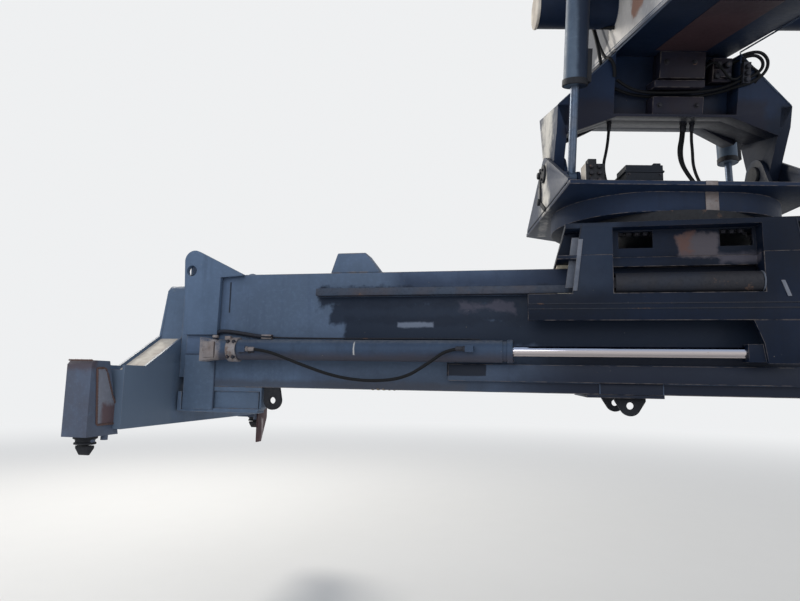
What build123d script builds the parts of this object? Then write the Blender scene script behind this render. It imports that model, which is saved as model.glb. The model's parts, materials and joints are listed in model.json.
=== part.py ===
from build123d import *
import math
import os

# Container spreader of a reach stacker: the telescopic top lift that hangs from the boom's nose.
# All sizes are in millimetres. X runs along the spreader, Y across it and Z up.
# Every piece is drawn from the spreader's own datum: the middle of the main frame at the level of
# the four twistlock tips. The part's origin is the open rear face of the boom nose.
# The nearer long side, Y below zero, is the one that faces the machine.

# Corner castings of a 20 ft container
LOCK_LENGTH = 5853
LOCK_WIDTH = 2259

# Main frame: two channels side by side, its ends set back from the locks
FRAME_BACK = 186.5
FRAME_LENGTH = LOCK_LENGTH - 2 * FRAME_BACK
FRAME_WIDTH = 880
FRAME_LOW = 394
FRAME_HIGH = 1162
FRAME_WALL = 12
FRAME_WEB = 24

# Telescopic beams, one in each channel
BEAM_WALL = 12
BEAM_HEIGHT = 650
BEAM_BACK = 128
PAD_SIDE = 18
PAD_LENGTH = 320
PAD_CLEAR = 0.4

# Side shift: where the carriage stands in the photographed pose, and its stroke each way
CARRIAGE_AT = 470
SHIFT_STROKE = 600
RAIL_LENGTH = 3580
RAIL_OUT = 60
RAIL_LOW = 1000
RAIL_HIGH = 1050
LOWER_RAIL = (460, 565)
LOWER_RAIL_OUT = 40
LOWER_RAIL_SPAN = (-910, 1400)
KEEL = (-80, 360)
KEEL_PLATE = 20

# Carriage, measured out from its own middle
APRON_HALF = 890
APRON_OUT = 620
APRON_PLATE = 24
APRON_LOW = 820
APRON_TOP = 918
CLAW_TOP = 980
CLAW_IN = 452
SADDLE_HALF = 720
SADDLE_LOW = 1185
SADDLE_TOP = 1209
POST_IN = 510
POST_WALL = 496
POST_SLOPE = 0.14
POST_HEAD = 574
WALL_PLATE = 24
WALL_FOOT = 1150
WINDOW_HALF = 400
GUSSET_Y = 450
TOWER_HALF = 667
TOWER_PLATE = 30
TUBE_RADIUS = 60
TUBE_LEVEL = 1042
TUBE_Y = 572
TUBE_HALF = 388

# Lugs, stops and boxes on the main frame
LUG_BACK = 30
LUG_LEVEL = 1190
LUG_LENGTH = 410
LUG_PROUD = 27
LUG_TOP = 1334
LUG_NOSE = 72
LUG_LOW = 745
LUG_THICK = 40
LUG_HOLE = 38
STOP_FACE = 1365
STOP_TOP = 1297
END_BOX_LENGTH = 574
END_BOX_LOW = 238
END_BOX_DEEP = 110
END_EAR_BACK = 642
EAR_PLATE = 30
EAR_RADIUS = 62
EAR_HOLE = 22

# Slewing and tilting: levels above the twistlock tips
TOWER_TOP = 1400
RING_TOP = 1472
DRUM_TOP = 1594
DRUM_RADIUS = 530
DRUM_SIDE = 195
DRUM_BORE = 420
RING_RADIUS = 575
HEAD_PLATE = 26
PIN_LEVEL = 1880
HEAD_YAW = 10.5
BOOM_RISE = 13.7

# Rotator head and its tilt lugs
HEAD_HALF_X = 780
HEAD_HALF_Y = 650
LUG_PLATE = 25
LUG_GAP = 5
EYE_RADIUS = 110
PIN_RADIUS = 50

# Fittings on the head's near side, as boxes: along, across and height above the top plate
VALVE_BLOCK = [((-660, -550), (-560, -475), (0, 130)), ((-641, -590), (-545, -490), (130, 165))]
JUNCTION_BOX = [((-424, -205), (-560, -400), (0, 124)), ((-434, -199), (-566, -394), (78, 90)),
                ((-248, -205), (-530, -470), (124, 147))]

# Yoke, measured along and square to the boom from the tilt pins
YOKE_HALF = 750
YOKE_LEG = 150
YOKE_NEAR = -200
YOKE_FAR = 360
YOKE_SHOULDER = 425
YOKE_ARCH = 354
YOKE_RECESS = 140
LEG_RADIUS = 115

# What sits in its recess: across, depth and height
YOKE_COVERS = [((-100, 190), 120, (600, 767)), ((-140, 180), 150, (536, 582)), ((-134, 193), 120, (370, 486))]
YOKE_VALVES = [((250, 372), 95, (585, 735)), ((258, 340), 120, (610, 660))]

# Boom nose
NOSE_HALF = 390
NOSE_LOW = 767
NOSE_HEIGHT = 720
NOSE_REAR = -1060
NOSE_FRONT = 720
NOSE_WALL = 16
NOSE_TUBE = (-100, 1040)
NOSE_TUBE_END = 900
NOSE_TUBE_RADIUS = 110

# Dampers beside the yoke
DAMPER_AT = 700
DAMPER_OFF = 390
DAMPER_EYE_LEVEL = 1712
DAMPER_IN = {-1: 450, 1: 200}
DAMPER_RADIUS = 70
DAMPER_ROD = 25
DAMPER_CLEAR = 0.6
DAMPER_PIN = 25
PIN_CLEAR = 0.1
DAMPER_BARREL = 612

# Corner housings: how far they stand past the locks, and their width at the top and bottom
HOUSING_OUT = LOCK_WIDTH / 2 + 90.5
HOUSING_IN = (HOUSING_OUT - 154, HOUSING_OUT - 275)
HOUSING_BOTTOM = 107
HOUSING_TOP = 540
HOUSING_LENGTH = 160
HOUSING_PROUD = 13

# End beams, as seen along the spreader
END_OUTER = LOCK_LENGTH / 2 + 73.5
END_INNER = END_OUTER - 200
END_HALF = HOUSING_OUT - 220
END_BOTTOM = 139
ARM_TOP = 520
ARM_BEND = 794
TOWER_FOOT = (369, 747)
TOWER_HEAD = (297, 1118)
WEB_PLATE = 16

# Twistlocks
LOCK_SHAFT = 19
LOCK_CLEAR = 0.5
LOCK_HEAD = (104, 56)
LOCK_HEAD_TOP = 53
LOCK_SHOULDER = 14
LOCK_TAPER = 28
COLLAR_BOTTOM = 60
LOCK_BORE_TOP = 420
GUIDE_BOTTOM = -122

# Side-shift cylinder on the near side
CYLINDER_Y = -545
CYLINDER_Z = 640
BARREL_RADIUS = 67.5
BARREL_START = 310 - FRAME_LENGTH / 2
BARREL_END = -511
BARREL_TAIL = 120
ROD_RADIUS = 32.5
ROD_EYE = 770

# Hose between the barrel's two ports: shares of the way between them, and how far it swings out and sags
HOSE_RADIUS = 10
HOSE_Y = -636
PORTS = (BARREL_START + 230, BARREL_END - 279)
HOSE_SWAY = [(0, 0, 0), (0.085, 0, 0), (0.248, -12, -84), (0.426, -20, -166), (0.582, -24, -194),
             (0.738, -20, -174), (0.844, -12, -80), (0.929, -4, 10), (1, -4, 10)]

# Hoses from the yoke down to the head, in the head's frame
TILT_HOSES = [
    [(-352, -83.8, 2223.8), (-352, -61.8, 2133.6), (-368, -60, 2030), (-396, -66, 1925), (-390, -80, 1825),
     (-366, -96, 1725), (-366, -96, 1620)],
    [(140, -83.8, 2223.8), (140, -61.8, 2133.6), (118, -58, 2040), (126, -62, 1945), (164, -74, 1860),
     (206, -88, 1785), (230, -96, 1705), (230, -96, 1620)],
    [(172, -45, 2233.3), (172, -23, 2143), (154, -18, 2048), (160, -22, 1952), (196, -34, 1868),
     (240, -48, 1792), (268, -58, 1712), (268, -58, 1620)],
    [(206, -83.8, 2223.8), (206, -61.8, 2133.6), (212, -60, 2032), (209, -64, 1930), (228, -78, 1832),
     (266, -104, 1730), (266, -104, 1620)],
]


def block(x, y, z):
    """Box between the pairs x, y and z."""
    centre = [(low + high) / 2 for low, high in (x, y, z)]
    return Pos(*centre) * Box(x[1] - x[0], y[1] - y[0], z[1] - z[0])


def spread(shape, axis, start, end):
    """A flat sketch drawn in (x, z), (y, z) or (x, y), extruded along the axis that it leaves out."""
    planes = {"X": Plane.YZ.offset(start), "Y": Plane.XZ.offset(-end), "Z": Plane.XY.offset(start)}
    return extrude(planes[axis] * shape, end - start)


def outline(points):
    """Closed straight-sided face."""
    return make_face(Polyline(*points, close=True))


def bar(start, end, radius):
    """Round bar from point to point."""
    start, end = Vector(*start), Vector(*end)
    return extrude(Plane(origin=start, z_dir=end - start) * Circle(radius), (end - start).length)


def pipe(start, end, radius, bore):
    """Round tube from point to point."""
    return bar(start, end, radius) - bar(start, end, bore)


def eye_plate(points, eye, radius):
    """Flat outline of a lug: the hull of its root points and the ring about its eye."""
    ring = Pos(*eye) * Circle(radius)
    return make_hull(Polyline(*points, close=True).edges() + ring.edges())


def both_sides(shape):
    """The shape and its mirror image on the far long side."""
    return [shape, mirror(shape, about=Plane.XZ)]


def both_ends(shape):
    """The shape and its mirror image at the other end."""
    return [shape, mirror(shape, about=Plane.YZ)]


def every_corner(shape):
    return [copy for side in both_sides(shape) for copy in both_ends(side)]


def frame_middle():
    """Level of the beams' and channels' middle."""
    return (FRAME_LOW + FRAME_HIGH) / 2


def channel_width():
    return (FRAME_WIDTH - 2 * FRAME_WALL - FRAME_WEB) / 2


def channel_y(side):
    """Middle of a channel: side is -1 for the near one and 1 for the far one."""
    return side * (FRAME_WEB + channel_width()) / 2


def main_frame():
    """Twin box: two open channels, each closed at the end that its beam doesn't leave by."""
    half = FRAME_LENGTH / 2
    body = block((-half, half), (-FRAME_WIDTH / 2, FRAME_WIDTH / 2), (FRAME_LOW, FRAME_HIGH))
    for side in (-1, 1):
        middle = channel_y(side)
        across = (middle - channel_width() / 2, middle + channel_width() / 2)
        along = (-half, half - FRAME_WALL) if side < 0 else (FRAME_WALL - half, half)
        body -= block(along, across, (FRAME_LOW + FRAME_WALL, FRAME_HIGH - FRAME_WALL))
    return body


def side_rails():
    """Upper rails that carry the carriage, and the shorter lower ones."""
    face = FRAME_WIDTH / 2
    upper = block((-RAIL_LENGTH / 2, RAIL_LENGTH / 2), (-face - RAIL_OUT, -face), (RAIL_LOW, RAIL_HIGH))
    lower = block(LOWER_RAIL_SPAN, (-face - LOWER_RAIL_OUT, -face), LOWER_RAIL)
    return both_sides(upper), both_sides(lower)


def keel_plate():
    """Plate under the frame that the middle ears hang from."""
    across = (-FRAME_WIDTH / 2, FRAME_WIDTH / 2)
    return block(KEEL, across, (FRAME_LOW - KEEL_PLATE, FRAME_LOW))


def lifting_lugs():
    """A lug with a shackle hole at each side of the left end, joined by a plate across the frame."""
    end, face = -FRAME_LENGTH / 2, FRAME_WIDTH / 2
    outer = end - LUG_PROUD
    root = [(end, LUG_LOW), (end + LUG_LENGTH, LUG_LOW), (end + LUG_LENGTH, FRAME_HIGH), (outer, LUG_LEVEL)]
    shape = eye_plate(root, (outer + LUG_NOSE, LUG_TOP - LUG_NOSE), LUG_NOSE)
    plate = spread(shape, "Y", -face - LUG_THICK, -face)
    hole = end + LUG_BACK
    plate -= bar((hole, -face, LUG_LEVEL), (hole, -face - LUG_THICK, LUG_LEVEL), LUG_HOLE)
    cross = block((end, end + 16), (-face, face), (FRAME_HIGH, LUG_LEVEL + 50))
    return plate + cross + mirror(plate, about=Plane.XZ)


def stop_block():
    """Trapezoid on the top plate that the carriage stops against."""
    face = -STOP_FACE
    shape = outline([(face - 345, FRAME_HIGH), (face, FRAME_HIGH), (face - 105, STOP_TOP),
                     (face - 300, STOP_TOP)])
    return spread(shape, "Y", -FRAME_WIDTH / 2, -FRAME_WIDTH / 2 + 150)


def end_box():
    """Shallow trough under the near channel's open end, with a lip in front of its mouth."""
    end, near, low, wall = -FRAME_LENGTH / 2, -FRAME_WIDTH / 2, END_BOX_LOW, FRAME_WALL
    far, inner = near + END_BOX_DEEP, end + END_BOX_LENGTH
    shape = outline([(end, low), (inner - 24, low), (inner, low + 24), (inner, FRAME_LOW), (end, FRAME_LOW)])
    body = spread(shape, "Y", near, far)
    body -= block((end, inner - wall), (near, far - wall), (low + wall, FRAME_LOW - 30))
    body += block((end, inner - 24), (near + 16, near + 28), (low + wall, FRAME_LOW - 30))
    sole = block((end - 42, inner - 24), (near, far), (low - 16, low))
    lip = block((end - 42, end - 12), (near, far), (low, low + 120))
    return body + sole + lip


def ear(x, half, y, top, eye):
    """Rounded ear with a hole, hanging under the frame from a root that reaches half each side of x."""
    root = [(x - half, top), (x + half, top), (x + half, top - 20), (x - half, top - 20)]
    side = (y - EAR_PLATE / 2, y + EAR_PLATE / 2)
    plate = spread(eye_plate(root, eye, EAR_RADIUS), "Y", *side)
    plate -= block((x - 200, x + 200), side, (top, top + 2 * EAR_RADIUS))
    return plate - bar((eye[0], side[0], eye[1]), (eye[0], side[1], eye[1]), EAR_HOLE)


def end_ear():
    """Ear behind the near channel's open end."""
    x = END_EAR_BACK - FRAME_LENGTH / 2
    return ear(x, 55, -420, FRAME_LOW, (x + 8, 310))


def mouth_pads():
    """Wear pads inside each open end of the frame, on all four sides of the beam."""
    pads = []
    for side in (-1, 1):
        x = sorted((side * FRAME_LENGTH / 2, side * (FRAME_LENGTH / 2 - PAD_LENGTH)))
        pads += pad_ring(x, channel_y(side), True)
    return pads


def pad_ring(x, middle, outer):
    """Four pads about a beam: seated on the channel if outer, else on the beam."""
    room_y = channel_width() / 2
    room_z = (FRAME_HIGH - FRAME_LOW) / 2 - FRAME_WALL
    core_y = room_y - PAD_SIDE
    core_z = BEAM_HEIGHT / 2
    wall_y, wall_z = (room_y, room_z) if outer else (room_y - PAD_CLEAR, room_z - PAD_CLEAR)
    face_y, face_z = (core_y + PAD_CLEAR, core_z + PAD_CLEAR) if outer else (core_y, core_z)
    pads = []
    for sign in (-1, 1):
        y = sorted((middle + sign * face_y, middle + sign * wall_y))
        z = sorted((frame_middle() + sign * face_z, frame_middle() + sign * wall_z))
        pads.append(block(x, y, (frame_middle() - 250, frame_middle() + 250)))
        pads.append(block(x, (middle - 140, middle + 140), z))
    return pads


def inner_beam():
    """Left telescopic beam: an open box in the near channel, with its tail pads."""
    middle = channel_y(-1)
    half_y = channel_width() / 2 - PAD_SIDE
    half_z = BEAM_HEIGHT / 2
    x = (-END_INNER, FRAME_LENGTH / 2 - FRAME_WALL - BEAM_BACK)
    beam = block(x, (middle - half_y, middle + half_y), (frame_middle() - half_z, frame_middle() + half_z))
    beam -= block(x, (middle - half_y + BEAM_WALL, middle + half_y - BEAM_WALL),
                  (frame_middle() - half_z + BEAM_WALL, frame_middle() + half_z - BEAM_WALL))
    return beam + pad_ring((x[1] - PAD_LENGTH, x[1]), middle, False)


def end_profile(inset):
    """Half outline of the end beam across the spreader, mirrored, drawn in by inset at the top."""
    half = [(END_HALF, END_BOTTOM), (END_HALF, ARM_TOP - inset), (ARM_BEND, ARM_TOP - inset),
            (TOWER_FOOT[0], TOWER_FOOT[1] - inset), (TOWER_HEAD[0], TOWER_HEAD[1] - 40),
            (TOWER_HEAD[0] - 40, TOWER_HEAD[1])]
    return outline(half + [(-y, z) for y, z in reversed(half)])


def end_beam():
    """Left end beam: two webs that stand proud of the sloping top flange between them."""
    webs = [(-END_OUTER, -END_OUTER + WEB_PLATE), (-END_INNER - WEB_PLATE, -END_INNER)]
    body = spread(end_profile(28), "X", webs[0][1], webs[1][0])
    hollow = offset(end_profile(28), amount=-WEB_PLATE)
    body -= spread(hollow, "X", webs[0][1], webs[1][0])
    for start, end in webs:
        body += spread(end_profile(0), "X", start, end)
    middle = frame_middle()
    return body - block(webs[1], (channel_y(-1) - 120, channel_y(-1) + 120), (middle - 200, middle + 200))


def corner_housing():
    """Near left corner: tapered housing with a landing pin and the collar about the lock's shaft."""
    shape = outline([(-HOUSING_OUT, HOUSING_BOTTOM), (-HOUSING_OUT, HOUSING_TOP - 25),
                     (-HOUSING_OUT + 25, HOUSING_TOP), (-HOUSING_IN[0], HOUSING_TOP),
                     (-HOUSING_IN[1], HOUSING_BOTTOM)])
    outer = -END_OUTER - HOUSING_PROUD
    body = spread(shape, "X", outer, outer + HOUSING_LENGTH)
    body -= spread(end_profile(0), "X", outer, -END_INNER)
    x, y = -LOCK_LENGTH / 2, -LOCK_WIDTH / 2
    collar = extrude(Pos(x, y, COLLAR_BOTTOM) * cut_rectangle(110, 58, 16), HOUSING_BOTTOM - COLLAR_BOTTOM)
    pin = bar((x + 50, y + 95, HOUSING_BOTTOM), (x + 50, y + 95, HOUSING_BOTTOM - 28), 20)
    body += [collar, pin]
    return body - bar((x, y, COLLAR_BOTTOM), (x, y, LOCK_BORE_TOP), LOCK_SHAFT + LOCK_CLEAR)


def guide_plate():
    """Tapered plate that hangs below the far left corner and guides it onto a container."""
    x = HOUSING_LENGTH - END_OUTER - HOUSING_PROUD
    inner, outer = END_HALF + 3, HOUSING_OUT - 25
    shape = outline([(inner, 200), (outer, 200), (outer, 90), (outer - 105, GUIDE_BOTTOM),
                     (inner, GUIDE_BOTTOM)])
    return spread(shape, "X", x, x + 18)


def cut_rectangle(length, width, cut):
    """Rectangle with its corners cut at 45 degrees."""
    corners = []
    for sx, sy in ((1, 1), (-1, 1), (-1, -1), (1, -1)):
        pair = [(sx * length / 2, sy * (width / 2 - cut)), (sx * (length / 2 - cut), sy * width / 2)]
        corners += pair if sx * sy > 0 else pair[::-1]
    return outline(corners)


def twistlock(x, y):
    """Shaft and cone head, its long way along the spreader: the unlocked position."""
    low = LOCK_HEAD_TOP - LOCK_SHOULDER
    shoulder = Pos(x, y, low) * cut_rectangle(*LOCK_HEAD, 14)
    head = extrude(shoulder, LOCK_SHOULDER) + extrude(shoulder, amount=-low, taper=LOCK_TAPER)
    return head + bar((x, y, LOCK_HEAD_TOP), (x, y, LOCK_BORE_TOP - 10), LOCK_SHAFT)


def shift_barrel():
    """Barrel of the side-shift cylinder, with its gland at the rod's end and two ports on its side."""
    def along(start, end, radius):
        return bar((start, CYLINDER_Y, CYLINDER_Z), (end, CYLINDER_Y, CYLINDER_Z), radius)

    body = along(BARREL_START, BARREL_END - 60, BARREL_RADIUS)
    body += along(BARREL_END - 60, BARREL_END, BARREL_RADIUS - 6)
    for x, rise in ((PORTS[0] - 50, HOSE_SWAY[0][2]), (PORTS[1], HOSE_SWAY[-1][2])):
        level = CYLINDER_Z + rise
        body += block((x, x + 50), (HOSE_Y - 20, CYLINDER_Y), (level - 20, level + 20))
    return body - along(BARREL_START + BARREL_TAIL, BARREL_END, ROD_RADIUS + 0.5)


def barrel_brackets():
    """Lug behind the barrel's closed end and two saddles along it, all on the frame's side."""
    face = -FRAME_WIDTH / 2
    tail = BARREL_START - BARREL_TAIL
    shape = outline([(tail, CYLINDER_Z - 80), (tail, CYLINDER_Z + 80), (BARREL_START, CYLINDER_Z + 60),
                     (BARREL_START, CYLINDER_Z - 60)])
    pieces = [spread(shape, "Y", CYLINDER_Y - 50, face)]
    for x in (BARREL_START + 60, BARREL_END - 260):
        saddle = block((x - 30, x + 30), (CYLINDER_Y, face), (CYLINDER_Z - 60, CYLINDER_Z + 60))
        pieces.append(saddle - bar((x - 30, CYLINDER_Y, CYLINDER_Z), (x + 30, CYLINDER_Y, CYLINDER_Z),
                                   BARREL_RADIUS))
    return pieces


def shift_rod():
    """Chrome rod, from inside the barrel to its eye on the carriage."""
    start = BARREL_START + BARREL_TAIL + CARRIAGE_AT + SHIFT_STROKE + 10
    return bar((start, CYLINDER_Y, CYLINDER_Z), (ROD_EYE, CYLINDER_Y, CYLINDER_Z), ROD_RADIUS)


def rod_anchor():
    """Knuckle at the rod's end and the plate that hangs it from the apron."""
    outer = -APRON_OUT
    knuckle = block((ROD_EYE, ROD_EYE + 230), (outer + APRON_PLATE, CYLINDER_Y + 50),
                    (CYLINDER_Z - 52, CYLINDER_Z + 48))
    shape = outline([(ROD_EYE + 30, APRON_LOW), (ROD_EYE + 330, APRON_LOW), (ROD_EYE + 240, CYLINDER_Z - 60),
                     (ROD_EYE + 90, CYLINDER_Z - 60), (ROD_EYE + 76, CYLINDER_Z + 50)])
    return knuckle + spread(shape, "Y", outer, outer + APRON_PLATE)


def post_half(z):
    """Distance of a post's outer edge from the carriage's middle, at a level."""
    return POST_HEAD + (TOWER_TOP - z) * POST_SLOPE


def post(end, low, high, side):
    """One post between two levels and two distances from the middle plane."""
    c = CARRIAGE_AT
    shape = outline([(c + end * WINDOW_HALF, low), (c + end * post_half(low), low),
                     (c + end * post_half(high), high), (c + end * WINDOW_HALF, high)])
    return spread(shape, "Y", *sorted(side))


def window_wall(side, low, high):
    """Set-back wall between two posts on one side."""
    c = CARRIAGE_AT
    across = sorted((side * POST_WALL, side * (POST_WALL + WALL_PLATE)))
    return block((c - WINDOW_HALF, c + WINDOW_HALF), across, (low, high))


def saddle():
    """Carriage base: top plate over the frame, aprons down both sides and claws under the rails."""
    c = CARRIAGE_AT
    body = block((c - SADDLE_HALF, c + SADDLE_HALF), (-APRON_OUT, APRON_OUT), (SADDLE_LOW, SADDLE_TOP))
    inner = APRON_OUT - APRON_PLATE
    along = (c - APRON_HALF, c + APRON_HALF)
    for s in (-1, 1):
        opening = sorted((s * APRON_OUT, s * (POST_WALL + WALL_PLATE)))
        body -= block((c - WINDOW_HALF, c + WINDOW_HALF), opening, (SADDLE_LOW, SADDLE_TOP))
        body += window_wall(s, WALL_FOOT, SADDLE_LOW)
        body += block(along, sorted((s * APRON_OUT, s * inner)), (APRON_LOW, APRON_TOP))
        body += block(along, sorted((s * APRON_OUT, s * CLAW_IN)), (APRON_TOP, CLAW_TOP))
        for end in (-1, 1):
            body += post(end, CLAW_TOP, SADDLE_LOW, (s * APRON_OUT, s * POST_IN))
    return body


def slide_pads():
    """Pads between the saddle and the frame's top, and under and beside each upper rail."""
    c = CARRIAGE_AT
    rail = FRAME_WIDTH / 2 + RAIL_OUT
    pads = []
    for x in (c - 560, c + 560):
        along = (x - 150, x + 150)
        for s in (-1, 1):
            pads.append(block(along, sorted((s * 300, s * 430)), (FRAME_HIGH + PAD_CLEAR, SADDLE_LOW)))
            pads.append(block(along, sorted((s * (CLAW_IN + 8), s * (rail - 5))),
                              (CLAW_TOP, RAIL_LOW - PAD_CLEAR)))
            pads.append(block((x - 25, x + 25), sorted((s * (rail + PAD_CLEAR), s * POST_IN)),
                              (RAIL_LOW, RAIL_HIGH)))
    return pads


def tower():
    """Posts, windowed walls and the top plate that carry the slewing ring."""
    c = CARRIAGE_AT
    low, high = SADDLE_TOP, TOWER_TOP - TOWER_PLATE
    body = block((c - TOWER_HALF, c + TOWER_HALF), (-APRON_OUT, APRON_OUT), (high, TOWER_TOP))
    for s in (-1, 1):
        for end in (-1, 1):
            body += post(end, low, high, (s * APRON_OUT, s * (GUSSET_Y + 30)))
        body += window_wall(s, low, high)
        wall = sorted((s * POST_WALL, s * (POST_WALL + WALL_PLATE)))
        for x, half in ((c - 256, 97), (c + 296, 88)):
            body -= block((x - half, x + half), wall, (high - 108, high - 6))
    for end in (-1, 1):
        gusset = outline([(c + end * (POST_HEAD - 20), low), (c + end * (SADDLE_HALF - 2), low),
                          (c + end * (TOWER_HALF - 5), high), (c + end * (POST_HEAD - 20), high)])
        for y in (-GUSSET_Y, 0, GUSSET_Y):
            body += spread(gusset, "Y", y - 12, y + 12)
    return body


def cross_tubes():
    """Tubes across the carriage's windows, in front of the upper rails, with a flat at each end."""
    c = CARRIAGE_AT
    tube = bar((c - TUBE_HALF, -TUBE_Y, TUBE_LEVEL), (c + TUBE_HALF, -TUBE_Y, TUBE_LEVEL), TUBE_RADIUS)
    for end in (-1, 1):
        tube += block(sorted((c + end * TUBE_HALF, c + end * WINDOW_HALF)), (-TUBE_Y - 30, 30 - TUBE_Y),
                      (TUBE_LEVEL - 30, TUBE_LEVEL + 30))
    return both_sides(tube)


def slewing_ring():
    """Lower race of the slewing ring, with its bolt flange."""
    z = TOWER_TOP
    return pipe((CARRIAGE_AT, 0, z), (CARRIAGE_AT, 0, RING_TOP - PAD_CLEAR), RING_RADIUS, 430)


def on_head(shape):
    """From the head's own frame, X along its tilt pins, to its place over the carriage."""
    return Location((CARRIAGE_AT, 0, 0), (0, 0, HEAD_YAW)) * shape


def on_boom(shape):
    """From the boom's frame, Y along the boom from the tilt pins, to its place."""
    return Location((CARRIAGE_AT, 0, PIN_LEVEL), (0, 0, HEAD_YAW)) * (Rot(BOOM_RISE, 0, 0) * shape)


def head_body():
    """Top plate with cut far corners, and below it the long drum that turns on the slewing ring."""
    shape = outline([(-HEAD_HALF_X, -HEAD_HALF_Y), (HEAD_HALF_X, -HEAD_HALF_Y), (HEAD_HALF_X, HEAD_HALF_Y),
                     (450, 830), (-450, 830), (-HEAD_HALF_X, HEAD_HALF_Y)])
    plate = spread(shape, "Z", DRUM_TOP, DRUM_TOP + HEAD_PLATE)
    drum = SlotCenterToCenter(2 * DRUM_SIDE, 2 * DRUM_RADIUS) - Circle(DRUM_BORE)
    return plate + spread(drum, "Z", RING_TOP, DRUM_TOP)


def tilt_lugs():
    """Outer and inner plates at each end of the head, with the yoke's leg between them."""
    low = DRUM_TOP + HEAD_PLATE
    wide = eye_plate([(-610, low), (610, low), (610, low + 20), (-610, low + 20)], (0, PIN_LEVEL), EYE_RADIUS)
    slim = eye_plate([(-230, low), (230, low), (230, low + 20), (-230, low + 20)], (0, PIN_LEVEL), EYE_RADIUS)
    outer = YOKE_HALF + LUG_GAP
    inner = YOKE_HALF - YOKE_LEG - LUG_GAP
    lugs = []
    for shape, start, end in ((wide, outer, outer + LUG_PLATE), (slim, inner - LUG_PLATE, inner)):
        plate = spread(shape, "X", start, end)
        lugs.append(plate - bar((start, 0, PIN_LEVEL), (end, 0, PIN_LEVEL), PIN_RADIUS))
    return [copy for lug in lugs for copy in both_ends(lug)]


def tilt_pin():
    """Pin through one pair of lugs and the yoke's leg, with a cap at its inner end."""
    inner = YOKE_HALF - YOKE_LEG - LUG_GAP - LUG_PLATE
    outer = YOKE_HALF + LUG_GAP + LUG_PLATE
    shaft = bar((inner, 0, PIN_LEVEL), (outer, 0, PIN_LEVEL), PIN_RADIUS - PIN_CLEAR)
    return shaft + bar((inner - 18, 0, PIN_LEVEL), (inner, 0, PIN_LEVEL), PIN_RADIUS + 14)


def damper_clevis():
    """Two small plates on the head, one each side of a damper's eye, with the pin's heads outside."""
    low = DRUM_TOP + HEAD_PLATE
    y = -DAMPER_OFF
    shape = eye_plate([(y - 70, low), (y + 70, low), (y + 70, low + 12), (y - 70, low + 12)],
                      (y, DAMPER_EYE_LEVEL), 45)
    plates = []
    for side in (-1, 1):
        x = -DAMPER_AT + side * 39
        plate = spread(shape, "X", x - 8, x + 8)
        nut = Pos(y, DAMPER_EYE_LEVEL) * RegularPolygon(26, 6)
        plates.append(plate + spread(nut, "X", *sorted((x, x + side * 13))))
    return plates


def both_turned(shape):
    """The shape and its copy half a turn about Z."""
    return [shape, Rot(0, 0, 180) * shape]


def fitting(boxes):
    """One piece of overlapping boxes, standing on the head's top plate."""
    low = DRUM_TOP + HEAD_PLATE
    first, *others = [block(x, y, (low + foot, low + head)) for x, y, (foot, head) in boxes]
    return first + others


def yoke():
    """Arch fixed under the boom nose, its two legs down to the tilt pins."""
    half, leg = YOKE_HALF, YOKE_LEG
    inner = half - leg
    arch = outline([(-half, YOKE_SHOULDER), (-half + 370, NOSE_LOW), (half - 370, NOSE_LOW),
                    (half, YOKE_SHOULDER), (inner, 240), (inner - 233, YOKE_ARCH),
                    (233 - inner, YOKE_ARCH), (-inner, 240)])
    body = spread(arch, "Y", YOKE_NEAR, YOKE_FAR)
    body -= block((-390, 400), (YOKE_NEAR, YOKE_NEAR + YOKE_RECESS), (YOKE_ARCH + 16, NOSE_LOW))
    top = YOKE_SHOULDER
    side = eye_plate([(YOKE_NEAR, top), (YOKE_FAR, top), (YOKE_FAR, top - 5), (YOKE_NEAR, top - 130)], (0, 0),
                     LEG_RADIUS)
    for start in (-half, inner):
        foot = spread(side, "X", start, start + leg)
        body += foot - bar((start, 0, 0), (start + leg, 0, 0), PIN_RADIUS)
    return body


def yoke_covers():
    """Plates in the yoke's recess, and the valve group beside them."""
    back = YOKE_NEAR + YOKE_RECESS
    plates = [block(x, (back - deep, back), z) for x, deep, z in YOKE_COVERS]
    first, *others = [block(x, (back - deep, back), z) for x, deep, z in YOKE_VALVES]
    return plates + [first + others]


def nose_tubes():
    """Cross tube of the nose, a stub on each side."""
    y, z = NOSE_TUBE
    return both_ends(bar((-NOSE_TUBE_END, y, z), (-NOSE_HALF, y, z), NOSE_TUBE_RADIUS))


def nose_box():
    """Last stretch of the boom: a box open at the rear, closed in front of the yoke."""
    outer = block((-NOSE_HALF, NOSE_HALF), (NOSE_REAR, NOSE_FRONT), (NOSE_LOW, NOSE_LOW + NOSE_HEIGHT))
    inner = block((-NOSE_HALF + NOSE_WALL, NOSE_HALF - NOSE_WALL), (NOSE_REAR, NOSE_FRONT - NOSE_WALL),
                  (NOSE_LOW + NOSE_WALL, NOSE_LOW + NOSE_HEIGHT - NOSE_WALL))
    return outer - inner


def damper_ends(side):
    """Top pivot and rod's eye of a damper in the boom's frame, by side: -1 near left, 1 far right."""
    pivots = {-1: Vector(-DAMPER_AT, -400, 1100), 1: Vector(DAMPER_AT, 630, 730)}
    across, drop = side * DAMPER_OFF, DAMPER_EYE_LEVEL - PIN_LEVEL
    eye = Vector(0, across, drop).rotate(Axis.X, -BOOM_RISE)
    return pivots[side], Vector(side * DAMPER_AT, eye.Y, eye.Z)


def damper_barrel(side):
    """Barrel with its top eye on a neck, its bore open at the bottom."""
    top, eye = damper_ends(side)
    way = (eye - top).normalized()
    body = bar(top + way * 105, top + way * DAMPER_BARREL, DAMPER_RADIUS)
    body += bar(top + way * 30, top + way * 105, 30)
    body -= bar(top + way * 120, top + way * DAMPER_BARREL, DAMPER_ROD + DAMPER_CLEAR)
    eye = bar(top - Vector(28, 0, 0), top + Vector(28, 0, 0), 62)
    return body + eye - bar(top - Vector(28, 0, 0), top + Vector(28, 0, 0), DAMPER_PIN + PIN_CLEAR)


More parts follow.
